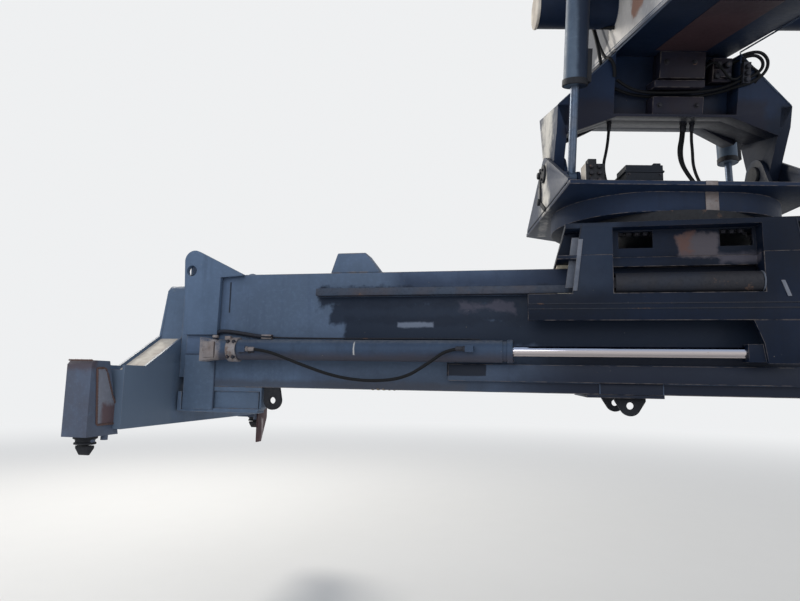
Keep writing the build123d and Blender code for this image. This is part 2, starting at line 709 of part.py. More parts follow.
def damper_rod(side):
    """Rod from inside the barrel to its eye between the head's plates."""
    top, eye = damper_ends(side)
    way = (eye - top).normalized()
    rod = bar(top + way * DAMPER_IN[side], eye - way * 30, DAMPER_ROD)
    return rod + bar(eye - Vector(24, 0, 0), eye + Vector(24, 0, 0), 42)


def damper_bracket(side):
    """Two cheeks out from the nose box, and the arm that holds them over the damper's top eye."""
    top, _ = damper_ends(side)
    y = (top.Y - 80, top.Y + 80)
    shape = eye_plate([(y[0], top.Z + 70), (y[1], top.Z + 70), (y[1], top.Z + 90), (y[0], top.Z + 90)],
                      (top.Y, top.Z), 75)
    nose = side * NOSE_HALF
    body = block(sorted((nose, top.X + side * 62)), y, (top.Z + 90, top.Z + 130))
    for start, end in ((-62, -36), (36, 62)):
        body += spread(shape, "X", top.X + start, top.X + end)
    body += bar(top - Vector(72, 0, 0), top + Vector(72, 0, 0), DAMPER_PIN)
    rib = outline([(nose, top.Z - 60), (nose, top.Z + 90), (nose + side * 200, top.Z + 90)])
    return body + spread(rib, "Y", top.Y - 15, top.Y + 15)


def hose(route):
    """Tube along a route, each arc as large as its two runs allow."""
    radii = []
    for before, at, after in zip(route, route[1:], route[2:]):
        one, two = Vector(*at) - Vector(*before), Vector(*after) - Vector(*at)
        half_turn_angle = one.get_angle(two) / 2
        shorter = min(one.length, two.length)
        radii.append(0.45 * shorter / math.tan(math.radians(half_turn_angle)))
    path = FilletPolyline(*route, radius=radii)
    print("hose length", round(path.length), "least radius", round(min(radii)))
    start = path ^ 0
    return sweep(start * RegularPolygon(HOSE_RADIUS, 8), path=path)


def shift_hose():
    """Hose that hangs in front of the frame, from one port of the barrel to the other."""
    way = PORTS[1] - PORTS[0]
    return hose([(PORTS[0] + share * way, HOSE_Y + out, CYLINDER_Z + rise) for share, out, rise in HOSE_SWAY])


def export(node, shape):
    """Write one node, moved from the spreader's datum to the part's origin."""
    solids = [s for piece in (shape if isinstance(shape, list) else [shape]) for s in piece.solids()]
    placed = [solid.moved(Location(-NOSE_FACE)) for solid in solids]
    export_step(placed[0] if len(placed) == 1 else Compound(children=placed), f"parts/{node}.step")


NOSE_FACE = on_boom(Pos(0, NOSE_REAR, NOSE_LOW + NOSE_HEIGHT / 2) * Vertex(0, 0, 0)).center()

os.makedirs("parts", exist_ok=True)
print("nose face", NOSE_FACE)

upper_rails, lower_rails = side_rails()
nodes = {
    "nose_box": on_boom(nose_box()),
    "yoke": on_boom(yoke()),
    "yoke_covers": [on_boom(cover) for cover in yoke_covers()],
    "nose_tubes": [on_boom(tube) for tube in nose_tubes()],
    "damper_bracket_near": on_boom(damper_bracket(-1)),
    "damper_bracket_far": on_boom(damper_bracket(1)),
    "damper_barrel_near": on_boom(damper_barrel(-1)),
    "damper_barrel_far": on_boom(damper_barrel(1)),
    "damper_rod_near": on_boom(damper_rod(-1)),
    "damper_rod_far": on_boom(damper_rod(1)),
    "head_body": on_head(head_body()),
    "tilt_lugs": [on_head(lug) for lug in tilt_lugs()],
    "tilt_pins": [on_head(pin) for pin in both_ends(tilt_pin())],
    "damper_clevises": [on_head(turn) for plate in damper_clevis() for turn in both_turned(plate)],
    "valve_block": on_head(fitting(VALVE_BLOCK)),
    "junction_box": on_head(fitting(JUNCTION_BOX)),
    "saddle": saddle(),
    "tower": tower(),
    "cross_tubes": cross_tubes(),
    "slide_pads": slide_pads(),
    "slewing_ring": slewing_ring(),
    "shift_rod": shift_rod(),
    "rod_anchor": rod_anchor(),
    "main_frame": main_frame(),
    "upper_rails": upper_rails,
    "lower_rails": lower_rails,
    "keel_plate": keel_plate(),
    "lifting_lugs": both_ends(lifting_lugs()),
    "stop_blocks": every_corner(stop_block()),
    "end_boxes": both_turned(end_box()),
    "end_ears": both_turned(end_ear()),
    "middle_ears": both_sides(ear(185, 90, -315, FRAME_LOW - KEEL_PLATE, (185, 326))),
    "mouth_pads": mouth_pads(),
    "shift_barrel": shift_barrel(),
    "barrel_brackets": barrel_brackets(),
    "shift_hose": shift_hose(),
}

corner = corner_housing()
left = {
    "inner_beam": [inner_beam()],
    "end_beam": [end_beam()],
    "corner_housings": both_sides(corner),
    "guide_plate": [guide_plate()],
}
for name, pieces in left.items():
    nodes[name + "_left"] = pieces
    turned = [mirror(piece, about=Plane.YZ) for piece in pieces]
    if name == "inner_beam":
        turned = [mirror(piece, about=Plane.XZ) for piece in turned]
    nodes[name + "_right"] = turned
for end, x in (("left", -1), ("right", 1)):
    for side, y in (("near", -1), ("far", 1)):
        nodes[f"twistlock_{end}_{side}"] = twistlock(x * LOCK_LENGTH / 2, y * LOCK_WIDTH / 2)

for number, route in enumerate(TILT_HOSES, 1):
    nodes[f"tilt_hose_{number}"] = on_head(hose(route))

for node, shape in nodes.items():
    export(node, shape)
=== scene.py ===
"""Looks of the container spreader that hangs from a reach stacker's boom nose.

Metres, in the CAD's frame. Places are written in millimetres from the spreader's own datum, as in the
part's source, and moved by the three placing functions on_frame, on_head and on_boom.
"""
import json
import math
import random

import bmesh
import bpy
from mathutils import Matrix, Vector
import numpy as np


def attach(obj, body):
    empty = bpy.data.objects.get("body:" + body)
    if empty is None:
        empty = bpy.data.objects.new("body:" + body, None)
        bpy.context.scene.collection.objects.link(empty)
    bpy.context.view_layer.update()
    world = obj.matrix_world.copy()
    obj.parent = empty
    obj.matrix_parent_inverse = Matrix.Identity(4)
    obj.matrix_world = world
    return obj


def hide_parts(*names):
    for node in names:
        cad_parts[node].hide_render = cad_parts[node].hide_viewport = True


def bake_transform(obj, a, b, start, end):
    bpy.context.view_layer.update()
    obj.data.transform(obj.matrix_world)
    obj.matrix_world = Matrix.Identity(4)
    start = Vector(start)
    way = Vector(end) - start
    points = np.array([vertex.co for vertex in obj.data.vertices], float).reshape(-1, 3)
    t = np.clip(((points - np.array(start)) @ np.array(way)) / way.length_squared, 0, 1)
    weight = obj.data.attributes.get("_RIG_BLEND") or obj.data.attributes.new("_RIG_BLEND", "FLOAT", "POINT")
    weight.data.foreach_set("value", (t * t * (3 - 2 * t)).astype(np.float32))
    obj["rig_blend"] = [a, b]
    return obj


# Sizes and levels that several pieces share, as in the part's source
NOSE_FACE = Vector((706.315, -1275.04, 2723.89))
LOCK_X, LOCK_Y = 2926.5, 1129.5
FRAME_END = 2740
FRAME_SIDE = 440
FRAME_LOW, FRAME_HIGH = 394, 1162
LOWER_RAIL = (460, 565)
RAIL_LOW, RAIL_END = 1000, 1790
LUG_LOW, LUG_THICK = 745, 40
CYLINDER_Y, CYLINDER_Z, BARREL_RADIUS = -545, 640, 67.5
CARRIAGE_AT = 470
APRON_OUT, APRON_TOP = 620, 918
TUBE_Y, TUBE_LEVEL = 572, 1042
TOWER_PLATE_LOW = 1370
HEAD_TOP = 1620
WIDE_LUG, SLIM_LUG, LUG_PLATE = 755, 650, 25
EYE_RADIUS, PIN_RADIUS = 110, 50
PIN_LEVEL = 1880
HEAD_YAW, BOOM_RISE = math.radians(10.5), math.radians(13.7)
YOKE_HALF, YOKE_NEAR, YOKE_FAR = 750, -200, 360
YOKE_SHOULDER, YOKE_ARCH = 425, 354
NOSE_HALF, NOSE_LOW = 390, 767
NOSE_TUBE_Y, NOSE_TUBE_Z = -100, 1040
DAMPER_AT, DAMPER_OFF, DAMPER_EYE_LEVEL = 700, 390, 1712
DAMPER_TOPS = {-1: (-400, 1100), 1: (630, 730)}
FLOOR_LEVEL = -1100

# Directions along the spreader or the tilt pins, to the near side, up and down
ALONG, TO_NEAR, UP, DOWN = (1, 0, 0), (0, -1, 0), (0, 0, 1), (0, 0, -1)

HEAD_AT = Vector((CARRIAGE_AT, 0, 0))
HEAD_TURN = Matrix.Rotation(HEAD_YAW, 3, "Z")
BOOM_TURN = HEAD_TURN @ Matrix.Rotation(BOOM_RISE, 3, "X")

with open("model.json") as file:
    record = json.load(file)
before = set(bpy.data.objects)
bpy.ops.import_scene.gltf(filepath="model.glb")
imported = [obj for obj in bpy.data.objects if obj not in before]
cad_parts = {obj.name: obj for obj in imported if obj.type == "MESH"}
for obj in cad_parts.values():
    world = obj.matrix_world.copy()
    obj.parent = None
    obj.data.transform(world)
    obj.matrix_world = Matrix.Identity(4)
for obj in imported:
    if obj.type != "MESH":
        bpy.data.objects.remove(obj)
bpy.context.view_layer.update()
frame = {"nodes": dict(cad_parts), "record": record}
nodes = frame["nodes"]
BODY_OF = {n: body for body, names in frame["record"]["behaviour"]["bodies"].items() for n in names}
SLOT_OF = {row["node"]: row["material_slot"] for row in frame["record"]["subparts"]}


def on_frame(x, y, z):
    """Point given from the spreader's datum."""
    return (Vector((x, y, z)) - NOSE_FACE) / 1000


def on_head(x, y, z):
    """Point given in the head's frame: X along the tilt pins, heights from the twistlock tips."""
    return on_frame(*(HEAD_AT + HEAD_TURN @ Vector((x, y, z))))


def on_boom(x, y, z):
    """Point given in the boom's frame: Y along the boom, from the tilt pins."""
    return on_frame(*(HEAD_AT + Vector((0, 0, PIN_LEVEL)) + BOOM_TURN @ Vector((x, y, z))))


def flipped(place, x_sign, y_sign):
    """The same placing function, mirrored along the spreader or across it."""
    return lambda x, y, z: place(x_sign * x, y_sign * y, z)


def on_damper(side):
    """Placing function with its Z down a damper's axis from the top pivot and its X along the tilt pins."""
    top = Vector((side * DAMPER_AT, *DAMPER_TOPS[side]))
    below = Vector((0, side * DAMPER_OFF, DAMPER_EYE_LEVEL - PIN_LEVEL))
    eye = Matrix.Rotation(-BOOM_RISE, 3, "X") @ below
    down = (Vector((side * DAMPER_AT, eye.y, eye.z)) - top).normalized()
    across = down.cross(Vector((1, 0, 0)))
    return lambda x, y, z: on_boom(*(top + Vector((x, 0, 0)) + across * y + down * z))


def add_object(name, data):
    """New object in the scene."""
    made = bpy.data.objects.new(name, data)
    bpy.context.scene.collection.objects.link(made)
    return made


# Camera at the photograph's angle

CAMERA_AT = (-454, -4238.5, 451)


def add_camera():
    right = Vector((0.97998, 0.19823, 0.01729))
    down = Vector((-0.00963, 0.13393, -0.99096))
    ahead = Vector((-0.19891, 0.97097, 0.13316))
    data = bpy.data.cameras.new("camera")
    data.sensor_width = 36
    data.lens = 27.05
    data.clip_end = 200
    camera = add_object("camera", data)
    turn = Matrix((right, -down, -ahead)).transposed().to_4x4()
    camera.matrix_world = Matrix.Translation(on_frame(*CAMERA_AT)) @ turn
    bpy.context.scene.camera = camera


add_camera()


# Node trees

def srgb(r, g, b):
    """Linear colour of a screen colour."""
    return tuple(((c / 255 + 0.055) / 1.055) ** 2.4 for c in (r, g, b)) + (1,)


def scaled(colour, factor):
    """Screen colour with its light multiplied by factor, as a linear colour."""
    return tuple(min(1, factor * c) for c in srgb(*colour)[:3]) + (1,)


def node(tree, kind, settings=None, out=0, **inputs):
    """New node with its settings and inputs; inputs named n0, n1 are counted. Returns an output."""
    made = tree.nodes.new("ShaderNode" + kind)
    for key, value in (settings or {}).items():
        setattr(made, key, value)
    for key, value in inputs.items():
        socket = made.inputs[int(key[1:])] if key[1:].isdigit() else made.inputs[key]
        if isinstance(value, bpy.types.NodeSocket):
            tree.links.new(value, socket)
        else:
            socket.default_value = value
    return made.outputs[out]


class Look:
    """A material in the making, with the patterns that its colour, roughness and bumps are mixed from."""

    def __init__(self, name):
        self.material = bpy.data.materials.new(name)
        self.material.use_nodes = True
        self.tree = self.material.node_tree
        self.shader = self.tree.nodes["Principled BSDF"]
        self.place = self.node("TexCoord", out=3)
        self.colour = None

    def node(self, *kind, **inputs):
        return node(self.tree, *kind, **inputs)

    def put(self, name, value):
        """Link or set an input of the shader."""
        if isinstance(value, bpy.types.NodeSocket):
            self.tree.links.new(value, self.shader.inputs[name])
        else:
            self.shader.inputs[name].default_value = value

    def maths(self, operation, a, b):
        return self.node("Math", {"operation": operation}, n0=a, n1=b)

    def times(self, a, b):
        return self.maths("MULTIPLY", a, b)

    def plus(self, a, b):
        return self.maths("ADD", a, b)

    def vector(self, operation, a, b=(0, 0, 0), out=0):
        return self.node("VectorMath", {"operation": operation}, out, n0=a, n1=b)

    def parts(self, vector):
        """The three coordinates of a vector."""
        split = self.tree.nodes.new("ShaderNodeSeparateXYZ")
        self.tree.links.new(vector, split.inputs[0])
        return split.outputs

    def noise(self, scale, detail, rough=0.6, stretch=None):
        """Noise at the object's own place, drawn out where stretch scales its coordinates apart."""
        place = self.vector("MULTIPLY", self.place, stretch) if stretch else self.place
        return self.node("TexNoise", Vector=place, Scale=scale, Detail=detail, Roughness=rough)

    def ramp(self, value, low, high):
        """0 below low, 1 above high, or the other way round."""
        return self.node("MapRange", {"interpolation_type": "SMOOTHSTEP"}, n0=value, n1=low, n2=high)

    def mix(self, factor, a, b):
        return self.node("Mix", {"data_type": "RGBA"}, 2, n0=factor, n6=a, n7=b)

    def two_tones(self, base, second, scale, low=0.35, high=0.65):
        """Start the colour with large soft patches of two tones."""
        self.colour = self.mix(self.ramp(self.noise(scale, 4), low, high), srgb(*base), srgb(*second))

    def lay(self, mask, strength, tone):
        """Lay a tone over the colour by a mask."""
        self.colour = self.mix(self.times(mask, strength), self.colour, tone)

    def facing_up(self):
        """How far the surface faces upwards."""
        return self.parts(self.node("TexCoord", out=1))[2]

    def patch(self, centre, half, ragged, soft):
        """Mask of a box, its half sizes in millimetres; ragged and soft give its edge in metres."""
        away = self.vector("ABSOLUTE", self.vector("SUBTRACT", self.place, tuple(centre)))
        x, y, z = self.parts(self.vector("SUBTRACT", away, tuple(h / 1000 for h in half)))
        most = self.maths("MAXIMUM", self.maths("MAXIMUM", x, y), z)
        uneven = self.times(self.maths("SUBTRACT", self.noise(7, 6, 0.68), 0.5), ragged * 2)
        return self.ramp(self.plus(most, uneven), soft, -soft)

    def roughen(self, a, b):
        """Make the roughness the sum of two values, at most 1."""
        self.put("Roughness", self.node("Math", {"operation": "ADD", "use_clamp": True}, n0=a, n1=b))

    def bumps(self, height, strength, distance):
        self.put("Normal", self.node("Bump", Strength=strength, Distance=distance, Height=height))

    def done(self):
        """The material, with its colour linked."""
        self.put("Base Color", self.colour)
        return self.material


# Screen colours of what lies on paint and steel
DUST = (134, 130, 122)
BARE = (128, 122, 116)
WORN, WORN_PALE = (92, 78, 72), (130, 126, 124)
RUST, OLD_RUST = (86, 64, 54), (54, 42, 40)
RUST_SPOT = (92, 70, 58)
OIL = (92, 78, 66)
GRIT = (122, 118, 112)


def paint(name, base, second, rust, chips, place=None, patches=()):
    """Weathered paint: two tones, dirt runs, scuffs, dust on top, stains, chips, rust and bare edges.

    Each of the patches is a tone laid over the paint, with its centre for the placing function, half sizes,
    colour, raggedness, softness and strength. Comments where they are listed say which are painted shade
    or painted sunlight.
    """
    look = Look(name)
    fine = look.noise(38, 4, 0.7)
    look.two_tones(base, second, 1.7)
    runs = look.ramp(look.noise(1.3, 4, 0.65, (11, 11, 0.9)), 0.5, 0.72)
    look.lay(runs, 0.5, scaled(base, 0.62))
    scuffs = look.ramp(look.noise(2.4, 5, 0.75, (1.1, 1.1, 34)), 0.6, 0.78)
    look.lay(scuffs, 0.28, scaled(base, 1.8))
    look.lay(look.ramp(fine, 0.45, 0.75), 0.16, scaled(base, 1.7))
    dusty = look.times(look.ramp(look.facing_up(), 0.5, 0.95), look.ramp(fine, 0.25, 0.6))
    look.lay(dusty, 0.25, srgb(*DUST))
    for centre, half, tint, ragged, soft, strength in patches:
        look.lay(look.patch(place(*centre), half, ragged, soft), strength, srgb(*tint))
    flakes = look.ramp(look.noise(62, 2, 0.5), 0.80 - 0.1 * chips, 0.83 - 0.1 * chips)
    look.lay(flakes, 0.6, srgb(*BARE))
    rusty = look.ramp(look.noise(5.5, 6, 0.72), 0.80 - 0.22 * rust, 0.84 - 0.16 * rust)
    look.lay(rusty, 0.85, look.mix(fine, srgb(*RUST), srgb(*OLD_RUST)))
    edge = look.node("Attribute", {"attribute_name": "edge"}, 2)
    worn = look.times(edge, look.ramp(look.noise(16, 4, 0.7), 0.36, 0.62))
    look.lay(worn, 0.55, look.mix(fine, srgb(*WORN), srgb(*WORN_PALE)))
    look.put("Specular IOR Level", 0.13)
    look.roughen(look.plus(look.times(fine, 0.3), 0.35), look.times(rusty, 0.25))
    height = look.plus(look.times(fine, 0.5), look.times(rusty, -0.9))
    look.bumps(look.plus(height, look.times(look.noise(2.6, 2), 2.5)), 0.35, 0.003)
    return look.done()


def bare_steel(name, base, second, rust, rough, metal=0.55):
    """Rolled or forged steel, oily or brown by its colours."""
    look = Look(name)
    fine = look.noise(55, 5, 0.7)
    look.two_tones(base, second, 4)
    look.lay(look.ramp(fine, 0.5, 0.7), 0.5, scaled(base, 0.5))
    spots = look.ramp(look.noise(9, 6, 0.75), 0.66 - 0.25 * rust, 0.72 - 0.2 * rust)
    look.lay(spots, 0.7, srgb(*RUST_SPOT))
    look.put("Metallic", metal)
    look.roughen(look.times(fine, 0.35), rough)
    look.bumps(fine, 0.4, 0.0015)
    return look.done()


def chrome(name):
    """Hard chrome, bluish on top and warm underneath as a painted reflection of sky and ground, with faint
    length-wise scuffs and a few oily specks.
    """
    look = Look(name)
    scuffs = look.noise(3, 4, stretch=(1.5, 60, 60))
    specks = look.ramp(look.noise(40, 3, 0.6), 0.68, 0.74)
    # Painted reflection: bluish sky on faces turned up, warm ground on faces turned down
    tone = look.ramp(look.facing_up(), -0.1, 0.6)
    look.colour = look.mix(tone, srgb(188, 176, 172), srgb(120, 142, 180))
    look.lay(scuffs, 0.5, srgb(196, 196, 204))
    look.lay(specks, 0.7, srgb(*OIL))
    look.put("Metallic", 1.0)
    look.roughen(look.plus(look.times(scuffs, 0.12), 0.06), look.times(specks, 0.3))
    return look.done()


def plain(name, base, second, scale, rough, bump=0.3, tint=GRIT):
    """Rubber, plastic, slide material or caked dirt."""
    look = Look(name)
    grain = look.noise(scale, 4, 0.65)
    look.two_tones(base, second, 6, 0.3, 0.7)
    look.lay(look.ramp(grain, 0.5, 0.8), 0.35, srgb(*tint))
    look.put("Specular IOR Level", 0.2)
    look.roughen(look.times(grain, 0.3), rough)
    look.bumps(grain, bump, 0.001)
    return look.done()


# Screen colours of the paints, of the stains that lie in several places, and of painted shade and sunlight:
# the carriage's darkest tones are the slate paint darkened by painted shade, the tone for bands along the
# frame's side is a plain darker tone, SHADE is painted shade, and the cream is painted sunlight on left faces
SLATE, SLATE_2 = (83, 100, 126), (74, 89, 110)
SHADED_SLATE, SHADED_SLATE_2 = (11, 23, 42), (8, 17, 32)
DARK_BAND = (22, 32, 48)
SHADE = (28, 33, 46)
SUNLIT_CREAM = (200, 196, 188)

frame_paint = paint("frame_paint", SLATE, SLATE_2, 0.22, 0.3, on_frame, [
    ((550, 0, 420), (2350, 600, 60), (38, 40, 48), 0.06, 0.2, 0.8),
    # Painted shade over the right half of the side, near the carriage
    ((760, -440, 800), (1150, 300, 700), SHADE, 0.05, 0.45, 0.92),
    ((700, -440, 800), (1050, 300, 700), SHADE, 0.05, 0.35, 0.75),
    ((-560, -440, 1080), (700, 300, 90), (32, 44, 66), 0.06, 0.12, 0.85),
    # Darker bands along the middle of the side
    ((-180, -440, 990), (1600, 200, 62), DARK_BAND, 0.08, 0.02, 0.94),
    ((-145, -440, 895), (1560, 200, 75), DARK_BAND, 0.08, 0.02, 0.94),
    ((-100, -440, 770), (1500, 200, 95), DARK_BAND, 0.08, 0.02, 0.94),
    ((-1130, -440, 813), (115, 30, 14), (108, 118, 136), 0.02, 0.008, 0.85),
    ((-680, -440, 930), (165, 60, 22), (66, 66, 80), 0.09, 0.02, 0.8),
    ((-794, -480, 531), (120, 20, 40), (26, 30, 40), 0.01, 0.004, 0.9),
    ((-1700, -440, 415), (900, 60, 28), (66, 68, 76), 0.03, 0.02, 0.6)])
end_paint = paint("end_paint", (84, 101, 124), (75, 90, 110), 0.2, 0.3, on_frame, [
    ((-2800, -900, 350), (90, 420, 260), (88, 102, 120), 0.03, 0.03, 0.85)])
lug_paint = paint("lug_paint", (84, 102, 127), (76, 93, 116), 0.2, 0.3)
housing_paint = paint("housing_paint", (84, 98, 120), (77, 82, 96), 0.7, 0.6, on_frame, [
    ((-2930, -1220, 520), (100, 40, 35), (76, 68, 74), 0.06, 0.02, 0.8)])
inner_panel = paint("inner_panel", (126, 130, 142), (110, 114, 126), 0.35, 0.5, on_frame, [
    ((-2850, -1040, 225), (80, 60, 60), (88, 66, 68), 0.06, 0.02, 0.85)])
# Pale paint for strips, a rim and a lip on edges that catch the sun: painted sunlight
sunlit_edge_paint = paint("sunlit_edge_paint", (112, 116, 126), (84, 90, 102), 0.35, 0.5)
# The carriage's dark tones are the slate paint darkened by painted shade
carriage_paint = paint("carriage_paint", SHADED_SLATE, SHADED_SLATE_2, 0.15, 0.12, on_frame, [
    ((549, -520, 1268), (112, 90, 68), (80, 76, 82), 0.06, 0.015, 0.85),
    ((480, -520, 1275), (44, 90, 60), (88, 64, 58), 0.09, 0.02, 0.8),
    ((800, -520, 1190), (120, 60, 24), (78, 76, 86), 0.05, 0.02, 0.7),
    ((-30, -620, 1200), (110, 30, 190), (40, 51, 69), 0.05, 0.08, 0.8)])
# The nose, yoke, yoke covers and head are painted in dark tones too: the slate paint darkened by painted
# shade
boom_finish = paint("boom_finish", (23, 35, 56), (18, 28, 46), 0.2, 0.12)
# The nose's left side: pale tones that are painted sunlight, a patch of rust, and a dark patch that is a
# painted shadow of the hoses and brackets
sunlit_nose_skin = paint("sunlit_nose_skin", (196, 192, 188), (150, 150, 154), 0.6, 0.6, on_boom, [
    ((-390, -560, 1010), (110, 110, 130), (136, 100, 84), 0.08, 0.02, 0.9),
    ((-390, 260, 1130), (110, 240, 330), (34, 42, 58), 0.14, 0.03, 0.9)])
yoke_paint = paint("yoke_paint", (28, 41, 64), (22, 33, 54), 0.22, 0.15, on_boom, [
    # Patches: a darker tone on the right leg, painted shade in the middle recess, painted sunlight on the
    # left end face, and a darker tone along the lower part
    ((700, 80, 120), (110, 340, 230), (20, 26, 38), 0.04, 0.03, 0.8),
    ((0, -60, 560), (330, 75, 220), (20, 27, 42), 0.05, 0.03, 0.8),
    ((-752, 80, 250), (22, 300, 200), SUNLIT_CREAM, 0.05, 0.02, 0.85),
    ((0, 80, 280), (640, 420, 105), (31, 32, 44), 0.05, 0.03, 0.85)])
cover_paint = paint("cover_paint", (31, 33, 47), (38, 33, 40), 0.5, 0.3)
under_paint = paint("under_paint", (66, 50, 54), (54, 42, 48), 0.5, 0.3)
head_finish = paint("head_finish", (30, 43, 66), (24, 35, 55), 0.2, 0.15, on_head, [
    # Patches: a darker tone on the right lugs, and painted sunlight on the left lug's outer face
    ((720, 0, 1800), (90, 640, 190), (20, 25, 36), 0.04, 0.03, 0.85),
    ((-780, 0, 1770), (16, 620, 170), SUNLIT_CREAM, 0.05, 0.02, 0.85)])
barrel_paint = paint("barrel_paint", (56, 72, 94), (48, 62, 83), 0.18, 0.4, on_frame, [
    ((-1300, -545, 585), (1200, 120, 30), (66, 62, 68), 0.02, 0.03, 0.7),
    ((-2500, -560, 640), (75, 70, 90), (146, 138, 136), 0.10, 0.03, 0.85),
    ((-1488, -610, 652), (6, 40, 44), (196, 196, 194), 0.012, 0.004, 0.8)])
damper_paint = paint("damper_paint", (82, 96, 113), (66, 79, 96), 0.3, 0.3, on_boom, [
    # Painted shade over the right side of the near damper's barrel
    ((-640, -400, 800), (58, 240, 460), (24, 33, 50), 0.02, 0.015, 0.9)])
rail_steel = bare_steel("rail_steel", (46, 58, 76), (56, 56, 66), 0.2, 0.5, 0.25)
tube_steel = bare_steel("tube_steel", (20, 28, 43), (27, 28, 36), 0.2, 0.55, 0.2)
lock_finish = bare_steel("lock_finish", (19, 22, 31), (14, 17, 25), 0.2, 0.55, 0.2)
worn_boss = bare_steel("worn_boss", (136, 132, 134), (104, 92, 88), 0.55, 0.45, 0.4)
bolt_steel = bare_steel("bolt_steel", (44, 46, 56), (36, 36, 42), 0.3, 0.45)
weld_finish = bare_steel("weld_finish", (88, 66, 62), (72, 58, 58), 0.6, 0.6, 0.2)
seam_finish = bare_steel("seam_finish", (60, 74, 96), (52, 64, 84), 0.15, 0.55, 0.2)
dark_seam = bare_steel("dark_seam", (24, 33, 48), (30, 32, 42), 0.2, 0.55, 0.2)
damper_steel = bare_steel("damper_steel", (66, 82, 104), (80, 88, 102), 0.2, 0.25, 0.6)
rod_finish = chrome("rod_finish")
pad_finish = plain("pad_finish", (206, 200, 184), (186, 176, 156), 50, 0.5)
rubber = plain("rubber", (12, 14, 19), (9, 11, 15), 90, 0.55, 0.3, (36, 37, 40))
box_finish = plain("box_finish", (24, 29, 38), (20, 24, 32), 70, 0.5, 0.3, (60, 60, 62))
# Pale dust, lightened as painted sunlight, for faces turned up and to the left
dust_and_sunlight = plain("dust_and_sunlight", (204, 198, 188), (172, 164, 156), 30, 0.8, 0.5, (112, 88, 76))
mud = plain("mud", (122, 112, 98), (92, 82, 72), 40, 0.9, 0.8)
guide_paint = paint("guide_paint", (84, 56, 60), (60, 48, 52), 0.6, 0.8, on_frame, [
    ((-2830, 1100, -10), (40, 14, 90), (168, 160, 160), 0.05, 0.02, 0.85)])

# Signs that mirror the left end and the near side
ENDS = {"left": 1, "right": -1}
SIDES = {"near": 1, "far": -1}

# Material of each solid that is seen, and how far its edges are rounded; 0 leaves them sharp
FINISH = {
    "nose_box": (boom_finish, 5), "yoke_covers": (cover_paint, 4), "nose_tubes": (boom_finish, 0),
    "damper_bracket_near": (boom_finish, 3), "damper_bracket_far": (boom_finish, 3),
    "damper_barrel_near": (damper_paint, 0), "damper_barrel_far": (damper_paint, 0),
    "damper_rod_near": (damper_steel, 0), "damper_rod_far": (damper_steel, 0),
    "head_body": (head_finish, 4), "damper_clevises": (head_finish, 2), "valve_block": (lock_finish, 3),
    "junction_box": (box_finish, 5), "saddle": (carriage_paint, 4), "tower": (carriage_paint, 4),
    "cross_tubes": (tube_steel, 0), "slide_pads": (pad_finish, 0), "slewing_ring": (lock_finish, 0),
    "shift_rod": (rod_finish, 0), "rod_anchor": (carriage_paint, 8), "main_frame": (frame_paint, 5),
    "upper_rails": (rail_steel, 6), "lower_rails": (frame_paint, 4), "keel_plate": (frame_paint, 3),
    "stop_blocks": (frame_paint, 8), "end_boxes": (end_paint, 3), "end_ears": (lock_finish, 4),
    "middle_ears": (lock_finish, 4), "mouth_pads": (pad_finish, 0), "shift_barrel": (barrel_paint, 0),
    "barrel_brackets": (barrel_paint, 4)}
END_FINISH = {"inner_beam": (end_paint, 5), "end_beam": (end_paint, 4),
              "corner_housings": (housing_paint, 15), "guide_plate": (guide_paint, 3)}
FINISH.update({f"{name}_{end}": finish for name, finish in END_FINISH.items() for end in ENDS})
FINISH.update({f"twistlock_{end}_{side}": (lock_finish, 4) for end in ENDS for side in SIDES})


# Making pieces

def set_material(obj, material):
    obj.data.materials.clear()
    obj.data.materials.append(material)


def add_piece(name, mesh, material, body, slot, *replaced):
    """Piece of the mesh, on a body unless the caller blends it between two."""
    piece = add_object(name, mesh)
    set_material(piece, material)
    if body:
        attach(piece, body)
    if replaced:
        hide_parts(*replaced)
    return piece


def apply_modifiers(piece):
    """Apply the piece's modifiers."""
    bpy.context.view_layer.update()
    graph = bpy.context.evaluated_depsgraph_get()
    mesh = bpy.data.meshes.new_from_object(piece.evaluated_get(graph))
    old = piece.data
    piece.modifiers.clear()
    piece.data = mesh
    mesh.name = piece.name
    bpy.data.meshes.remove(old)


def round_arrises(piece, width):
    """Round the sharp edges by width millimetres and mark the new faces for worn edges."""
    piece.data.materials.append(piece.data.materials[0])
    rounding = piece.modifiers.new("rounding", "BEVEL")
    rounding.width = width / 1000
    rounding.segments = 2
    rounding.limit_method = "ANGLE"
    rounding.angle_limit = math.radians(35)
    rounding.material = 1
    apply_modifiers(piece)
    mesh = piece.data
    edge = mesh.attributes.new("edge", "FLOAT", "FACE")
    edge.data.foreach_set("value", [float(face.material_index) for face in mesh.polygons])
    for face in mesh.polygons:
        face.material_index = 0
    mesh.materials.pop(index=1)
    smooth(mesh)


def smooth(mesh):
    """Smooth shading, except across edges sharper than 40 degrees."""
    for face in mesh.polygons:
        face.use_smooth = True
    mesh.set_sharp_from_angle(angle=math.radians(40))


def add_corners(form, place, axis, level, section):
    """Vertices of a section at a level along the axis; its pairs are the two other coordinates."""
    at = "xyz".index(axis)
    return [form.verts.new(place(*pair[:at], level, *pair[at:])) for pair in section]


def add_skin(form, rings, closed=False):
    """Faces between rings of vertices, with the two ends capped unless the rings close on themselves."""
    count = len(rings[0])
    for one, two in zip(rings, rings[1:] + rings[:1] if closed else rings[1:]):
        for i in range(count):
            form.faces.new((one[i], one[(i + 1) % count], two[(i + 1) % count], two[i]))
    if not closed:
        form.faces.new(rings[0][::-1])
        form.faces.new(rings[-1])


def slab(form, place, axis, span, section):
    """Section drawn out along an axis."""
    add_skin(form, [add_corners(form, place, axis, level, section) for level in span])


def box(form, place, x, y, z):
    slab(form, place, "z", z, [(x[0], y[0]), (x[1], y[0]), (x[1], y[1]), (x[0], y[1])])


